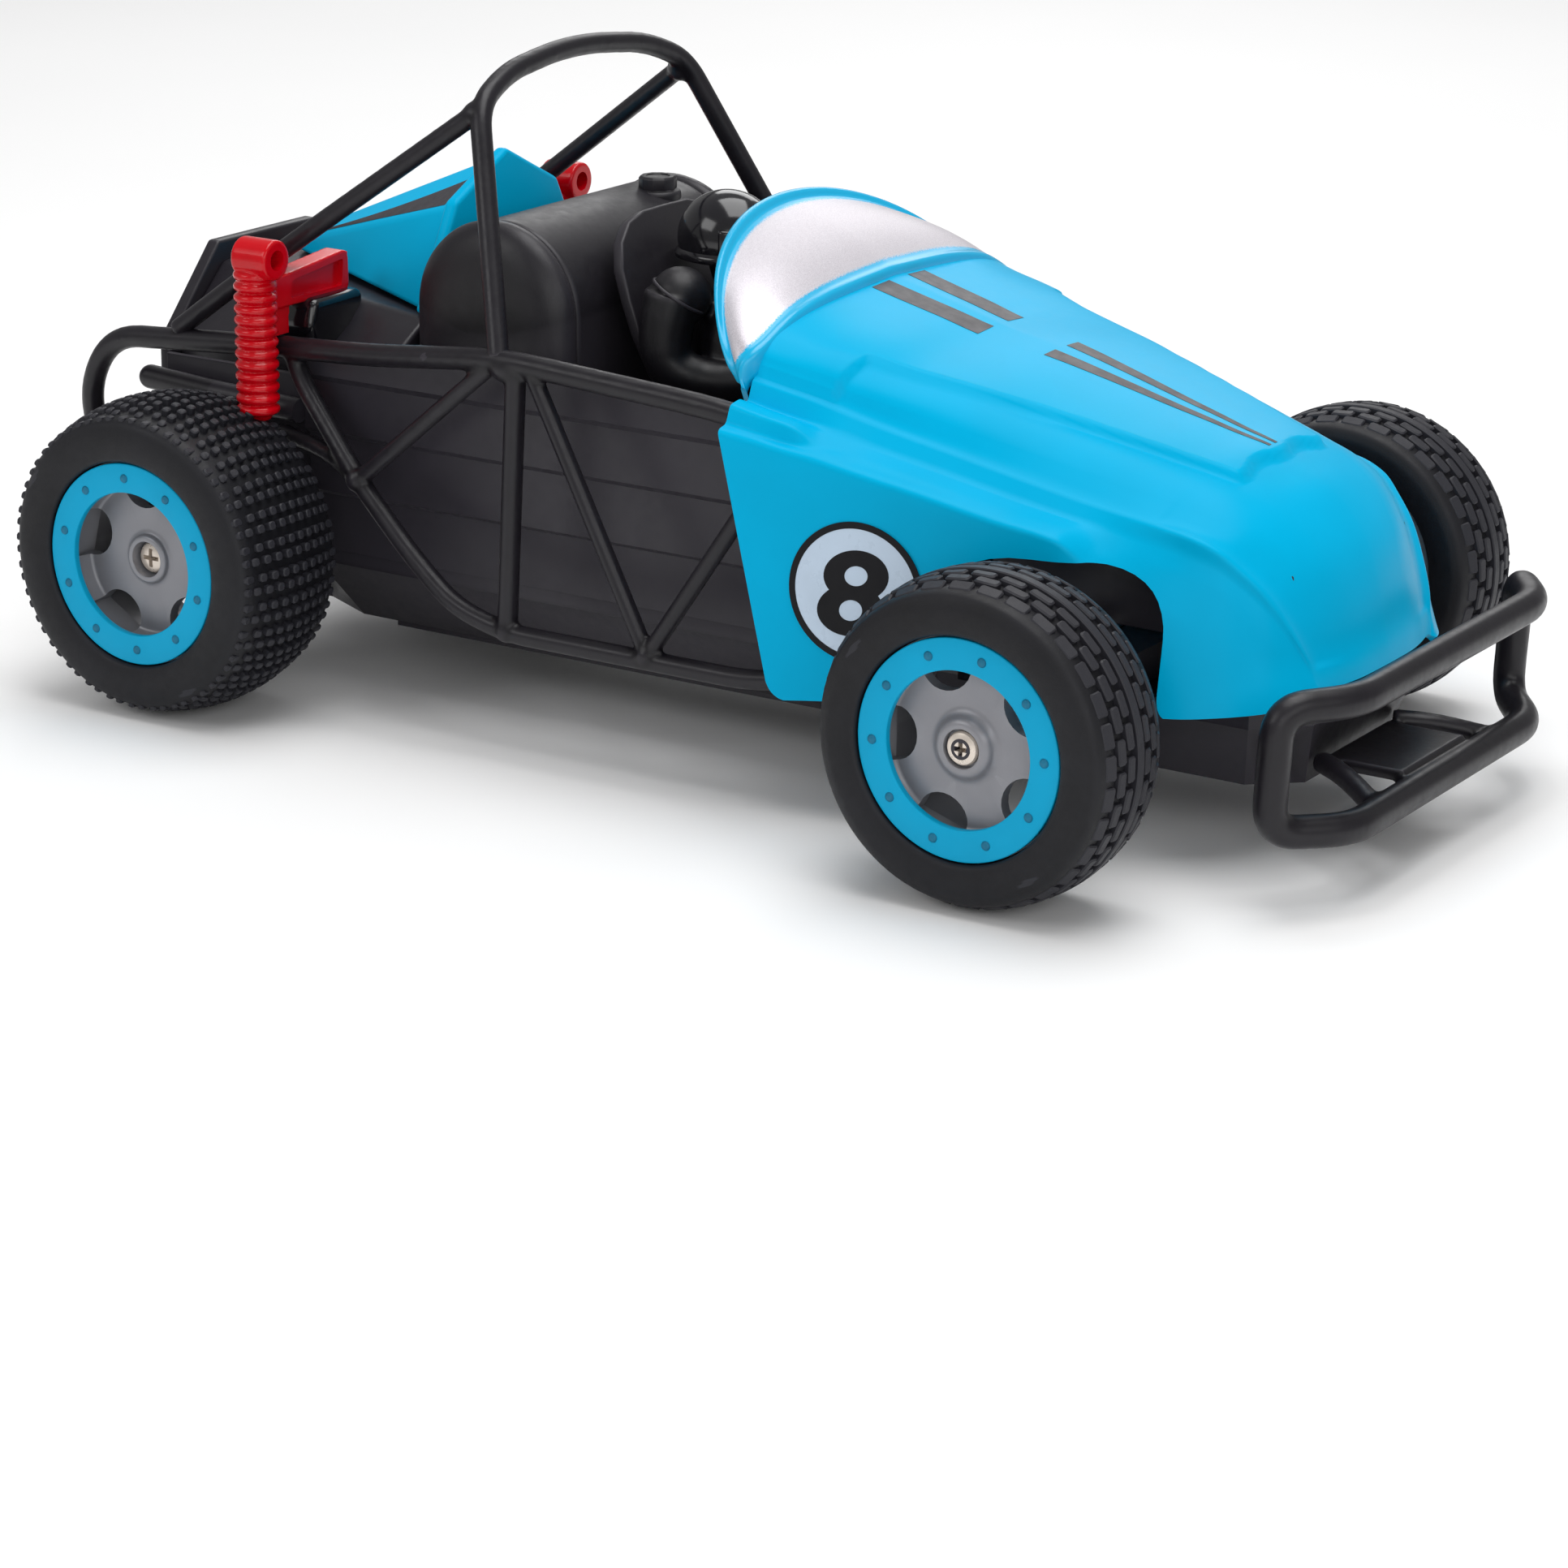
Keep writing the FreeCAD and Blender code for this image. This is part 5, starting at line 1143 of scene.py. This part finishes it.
SHOCK_X, SHOCK_Y = 12.6, 54.4
deck_back = half_to_full([(0, 84.6), (16.0, 83.0), (31.0, 69.0), (31.0, 60.0), (0, 60.0)])
deck_front = half_to_full([(0, 81.2), (29.5, 80.9), (40.2, 74.8), (39.0, 66.0), (0, 66.0)])
deck_solid = loft([section_at(-28.0, deck_back), section_at(37.8, deck_front)])
add_piece("rear_deck_look", deck_solid, "black_plastic", ["rear_deck"], bevel=(1.1, 4))
tail_face = half_to_full([(0, 87.4), (16.8, 87.4), (34.0, 68.5), (34.0, 56.0), (0, 56.0)])
add_piece("tail_panel_look", prism(tail_face, -31.1, -27.9, "x"), "black_plastic", bevel=(0.7, 4))
for side_name, side in SIDES.items():
    outline = [(side * 41.8, 73.6), (side * 43.2, 78.5), (side * 41.6, 84.2), (side * 25.0, 84.2), (side * 24.5, 75.6),
               (side * 35.0, 72.8)]
    add_piece(f"shock_boss_{side_name}", prism(outline, SHOCK_X - 5.6, SHOCK_X + 5.4, "x"),
              "black_plastic", look="gloss_black", bevel=(1.8, 5))

COWL_BACK, COWL_FRONT = -18.0, 36.4
cowl_nose = half_to_full([(0, 88.2), (1.8, 87.2), (2.4, 84.3), (0, 84.3)])
cowl_face = half_to_full([(0, 111.0), (17.4, 102.4), (28.4, 81.6), (0, 81.6)])
flange = half_to_full([(0, 112.3), (18.3, 103.3), (29.6, 81.5), (0, 81.5)])
cowl_solid = loft([section_at(COWL_BACK, cowl_nose), section_at(COWL_FRONT, cowl_face)])
cowl_body = add_piece("tail_cowl_look", cowl_solid, "blue_plastic", ["tail_cowl"], bevel=(1.2, 4))
add_piece("tail_cowl_flange", prism(flange, 34.4, 37.6, "x"), "blue_plastic", bevel=(1.1, 4))
COWL_TREE = BVHTree.FromObject(cowl_body, bpy.context.evaluated_depsgraph_get())


def cowl_line(x, share):
    """A point on the cowl's upper side facet; share 0 is the ridge, 1 the shoulder."""
    t = (x - COWL_BACK) / (COWL_FRONT - COWL_BACK)
    ridge = Vector((x, 0, lerp(88.2, 111.0, t)))
    shoulder = Vector((x, lerp(1.8, 17.4, t), lerp(87.2, 102.4, t)))
    return ridge.lerp(shoulder, share)


for side_name, side in SIDES.items():
    rows = []
    for i in range(31):
        x, upper = lerp(-10.0, 32.0, i / 30), lerp(0.86, 0.42, i / 30)
        points = [cowl_line(x, lerp(upper, 0.93, k / 5)) for k in range(6)]
        rows.append([(p.x, side * p.y, p.z) for p in points])
    facing = Vector((0.15, -side * 0.44, -0.86)).normalized()
    drape(f"cowl_stripe_{side_name}", rows, COWL_TREE, facing, 8)


# ---------------------------------------------------------------- shock mouldings
def shock_solid():
    """The right-hand shock about its own upright axis: ringed body, cross eye and inboard arm (+y is inboard)."""
    rings, pitch, ring_r, core_r, first = 13, 2.35, 4.6, 3.6, 61.9
    profile = [(0, 60.6), (2.4, 60.7), (3.0, 61.5)]
    for k in range(rings):
        z = first + pitch * k
        for step in range(7):
            a = math.pi * step / 6
            profile.append((core_r + (ring_r - core_r) * math.sin(a), z + 0.15 + 2.0 * (1 - math.cos(a)) / 2))
    profile += [(core_r, 92.4), (2.6, 93.5), (0, 93.6)]
    solids = [lathe(profile, 48)]
    solids.append(sweep([(-3.2, 0, 94.8), (-2.8, 0, 94.8), (5.5, 0, 94.8), (5.9, 0, 94.8)],
                        lambda t: 3.8 if t in (0, 1) else 4.2, 32))
    arm = [(0.5, 83.6), (27.5, 83.3), (28.2, 85.2), (27.9, 91.8), (26.5, 92.3), (6.0, 90.2), (0.5, 90.8)]
    solids.append(prism(arm, -2.5, 2.5, "x"))
    solids.append(prism([(2.6, 77.6), (8.6, 77.6), (8.9, 85.0), (2.4, 85.0)], -1.7, 1.7, "x"))
    return joined(solids)


for side_name, side in SIDES.items():
    spot = Vector((SHOCK_X, side * SHOCK_Y, 0))

    def shock_place(point, spot=spot, side=side):
        return to_car((spot.x + point[0], spot.y - side * point[1], point[2]))

    look = moulded(make_object(f"shock_look_{side_name}", shock_solid(), shock_place), 0.27, 2)
    recess = rounded_outline([(8.5, 85.0), (25.6, 84.9), (26.2, 90.6), (9.0, 88.8)], 0.8, 4, True)
    tools = [make_object("arm_recess", prism(recess, 1.2, 6.0, "x"), shock_place),
             make_object("eye", sweep([(-8, 0, 94.8), (9, 0, 94.8)], 2.1, 28), shock_place)]
    carved(look, tools)
    finish_piece(look, "red_plastic", [f"shock_{side_name}"], 45)


# ---------------------------------------------------------------- cockpit
TANK_X, TANK_Z, TANK_R, FLOOR_Z = 58.0, 85.0, 18.7, 52.0


def drum_section(y, inset, drop=0.0):
    """The drum's round top on straight sides, at y, drawn in by inset."""
    radius = TANK_R - inset
    arc = [(TANK_X + radius * math.cos(math.pi * k / 40), y, TANK_Z - drop + radius * math.sin(math.pi * k / 40))
           for k in range(41)]
    return arc + [(TANK_X - radius, y, FLOOR_Z + 0.3), (TANK_X + radius, y, FLOOR_Z + 0.3)]


tank_rows = [(-30.1, 1.2), (-30.0, 0.5), (-29.6, 0.1), (-28.8, 0.0), (28.8, 0.0), (29.6, 0.1), (30.0, 0.5), (30.1, 1.2)]
add_piece("fuel_tank_look", loft([drum_section(y, inset) for y, inset in tank_rows]), "cockpit_black", ["fuel_tank"])
cap_rows = [(30.2, 1.0), (30.5, 0.3), (31.2, -0.35), (32.6, -0.5), (34.0, 0.0), (35.2, 1.0), (36.3, 2.6), (37.1, 4.6),
            (37.6, 7.0), (37.9, 10.5), (38.0, 15.5)]
cap_solid = loft([drum_section(y, inset, max(inset, 0) * 0.25) for y, inset in cap_rows])
add_piece("tank_end_caps_look", joined([cap_solid, flipped(cap_solid)]), "cockpit_black", ["tank_end_caps"], 45)

filler_flange = rounded_outline([(0, -0.8), (5.0, -0.8), (5.0, 1.2), (4.1, 1.6), (3.8, 1.8), (0, 1.8)],
                                [0, 0.3, 0.5, 0.3, 0.2, 0], 3)
filler_spot = Vector((62.3, 20.0, TANK_Z + TANK_R - 2.0))
knob = [(0, 1.5), (3.9, 1.5), (4.1, 2.0), (4.1, 3.9), (3.7, 4.4), (2.7, 4.4), (2.5, 4.1), (0, 4.1)]
filler_parts = joined([lathe(filler_flange, 48), lathe(knob, 10)])
add_piece("filler_cap_look", moved(filler_parts, Matrix.Translation(filler_spot)), "cockpit_black", ["filler_cap"],
          35, bevel=(0.2, 2, 25))

SEAT_PLACE = Matrix.Translation((96.6, 0, FLOOR_Z + 1.2)) @ Matrix.Rotation(math.radians(-20), 4, "Y")
shield = half_to_full([(0, 55.0), (8.0, 54.9), (14.0, 53.4), (18.5, 49.8), (21.0, 44.5), (21.5, 38.0), (21.3, 31.0),
                       (19.6, 22.5), (16.2, 14.0), (15.0, 0), (0, 0)])
seat_back = moved(prism(shield, -2.6, 0.0, "x"), SEAT_PLACE)
cushion = [(-2.0, -0.4), (22.0, 8.0), (26.0, 10.0), (25.6, 12.8), (23.6, 14.0), (-2.0, 5.0)]
seat_base = moved(prism(cushion, -14.5, 14.5, "y"), SEAT_PLACE)
add_piece("driver_seat_look", joined([seat_back, seat_base]), "cockpit_black", ["driver_seat"], bevel=(0.6, 3))


def limb(points, start_r, end_r, bend=6.0):
    return sweep(rounded(points, bend, 6), lambda t: lerp(start_r, end_r, t), 20)


driver_solids = [ball((99.5, 0, 78.0), (9.6, 15.5, 17.0)), ball((101.0, 0, 68.0), (9.5, 13.5, 9.0)),
                 sweep([(96.5, 0, 88), (93.6, 0, 95.5)], 4.6, 20)]
for side in SIDES.values():
    driver_solids.append(ball((93.2, side * 17.3, 90.2), (6.4, 6.6, 6.2)))
    driver_solids.append(limb([(92.8, side * 19.3, 91.0), (91.5, side * 20.8, 83.0), (92.8, side * 21.0, 75.5),
                               (104.0, side * 16.5, 72.8), (116.0, side * 13.5, 76.5)], 6.0, 3.8))
    driver_solids.append(ball((117.5, side * 13.5, 77.0), (4.2, 4.0, 3.6)))
    driver_solids.append(limb([(102, side * 8.5, 66.5), (121, side * 11, 70.0), (135, side * 11, 60.5)], 6.0, 4.4, 8.0))
add_piece("driver_figure_look", joined(driver_solids), "cockpit_black", ["driver_figure"], 70, mould=(0.6, 6))
for side_name, side in SIDES.items():
    centre, normal = Vector((93.6, side * 18.6, 90.6)), Vector((0.45, -side * 0.3, 0.84)).normalized()
    first = normal.orthogonal().normalized()
    second = normal.cross(first)
    loop_points = [centre + (first * math.cos(a) + second * math.sin(a)) * 5.95
                   for a in (2 * math.pi * k / 40 for k in range(41))]
    add_piece(f"sleeve_seam_{side_name}", sweep(loop_points, 0.36, 8), "cockpit_black", smooth=60)

HELMET = Vector((93.3, 0, 99.6))


def helmet_solid():
    """A dome with a rolled lower edge, longer than it is wide."""
    profile = [(0, 9.9)]
    for k in range(1, 19):
        a = math.radians(102 * k / 18)
        profile.append((10.0 * math.sin(a), 9.9 * math.cos(a)))
    profile += [(10.3, -2.5), (10.6, -3.1), (10.4, -3.9), (9.6, -4.2), (6.6, -4.2), (6.4, -3.6), (0, -3.6)]
    verts, faces = lathe(profile, 64)
    return [(x * 1.08, y * 0.96, z) for x, y, z in verts], faces


add_piece("driver_helmet_look", moved(helmet_solid(), Matrix.Translation(HELMET)), "helmet_black", ["driver_helmet"])
visor_angles = [math.radians(-70 + 140 * k / 28) for k in range(29)]
visor_outline = [(11.5 * math.cos(a), 10.3 * math.sin(a)) for a in visor_angles] + [(2.0, 7.0), (2.0, -7.0)]
goggles = moved(prism(visor_outline, -6.0, 3.2, "z"), Matrix.Translation(HELMET))
add_piece("driver_goggles", goggles, "helmet_black", bevel=(0.6, 3))


# ---------------------------------------------------------------- stage, light and camera
def add_stage(half_size=6.0):
    corners = [(-half_size, -half_size, 0), (half_size, -half_size, 0), (half_size, half_size, 0),
               (-half_size, half_size, 0)]
    floor = mesh_object("floor", corners, [(0, 1, 2, 3)])
    material, tree, shader = new_material("pale_floor")
    patches = map_range(tree, noise(tree, 3.0), 0.3, 0.7, 0, 1)
    tree.links.new(mix_colour(tree, patches, (0.93, 0.93, 0.93), (0.96, 0.96, 0.96)), shader.inputs["Base Color"])
    shader.inputs["Roughness"].default_value = 0.7
    floor.data.materials.append(material)


LIGHT_TARGET = Vector((0, 0, 0.05))
# Name, place, width, height and power of each softbox, all aimed at the car.
SOFTBOXES = [
    ("top_softbox", (0.1, 0.1, 1.3), 1.3, 0.9, 14.0),
    ("front_softbox", (1.3, -0.5, 0.7), 0.7, 0.7, 2.6),
    ("left_softbox", (-0.7, -1.2, 0.9), 0.8, 0.6, 4),
    ("back_softbox", (-0.6, 1.2, 0.8), 0.9, 0.6, 4),
    ("fill_softbox", (0.75, -1.15, 0.5), 0.9, 0.6, 3),
]
ROOM_LIGHT = 0.32


def add_light(name, spot, width, height, power):
    light = bpy.data.lights.new(name, "AREA")
    light.shape = "RECTANGLE"
    light.size, light.size_y = width, height
    light.energy = power
    obj = new_object(name, light)
    obj.location = spot
    obj.rotation_euler = (LIGHT_TARGET - Vector(spot)).to_track_quat("-Z", "Y").to_euler()


def add_room_light():
    world = bpy.data.worlds.new("studio")
    world.use_nodes = True
    background = world.node_tree.nodes["Background"]
    background.inputs["Color"].default_value = (1.0, 1.0, 1.0, 1.0)
    background.inputs["Strength"].default_value = ROOM_LIGHT
    bpy.context.scene.world = world


# The viewpoint: right front quarter, a little above the car. Angles in degrees, place in the car's millimetres.
CAMERA = dict(azimuth=32.36, elevation=18.2, roll=0.67, spot=(592.8, -764.3, 281.4), sensor=36.0, lens=103.0435)


def add_camera():
    azimuth, elevation, roll = (math.radians(CAMERA[key]) for key in ("azimuth", "elevation", "roll"))
    right = Vector((math.cos(azimuth), math.sin(azimuth), 0))
    back = Vector((math.sin(azimuth) * math.cos(elevation), -math.cos(azimuth) * math.cos(elevation),
                   math.sin(elevation)))
    up = back.cross(right)
    right_rolled = math.cos(roll) * right + math.sin(roll) * up
    up_rolled = -math.sin(roll) * right + math.cos(roll) * up
    camera = bpy.data.cameras.new("camera")
    camera.sensor_width = CAMERA["sensor"]
    camera.lens = CAMERA["lens"]
    camera.clip_start = 0.01
    obj = new_object("camera", camera)
    basis = Matrix((right_rolled, up_rolled, back)).transposed().to_4x4()
    obj.matrix_world = Matrix.Translation(to_car(CAMERA["spot"])) @ basis
    bpy.context.scene.camera = obj


add_stage()
for softbox in SOFTBOXES:
    add_light(*softbox)
add_room_light()
add_camera()
bpy.context.scene.view_settings.view_transform = "Standard"
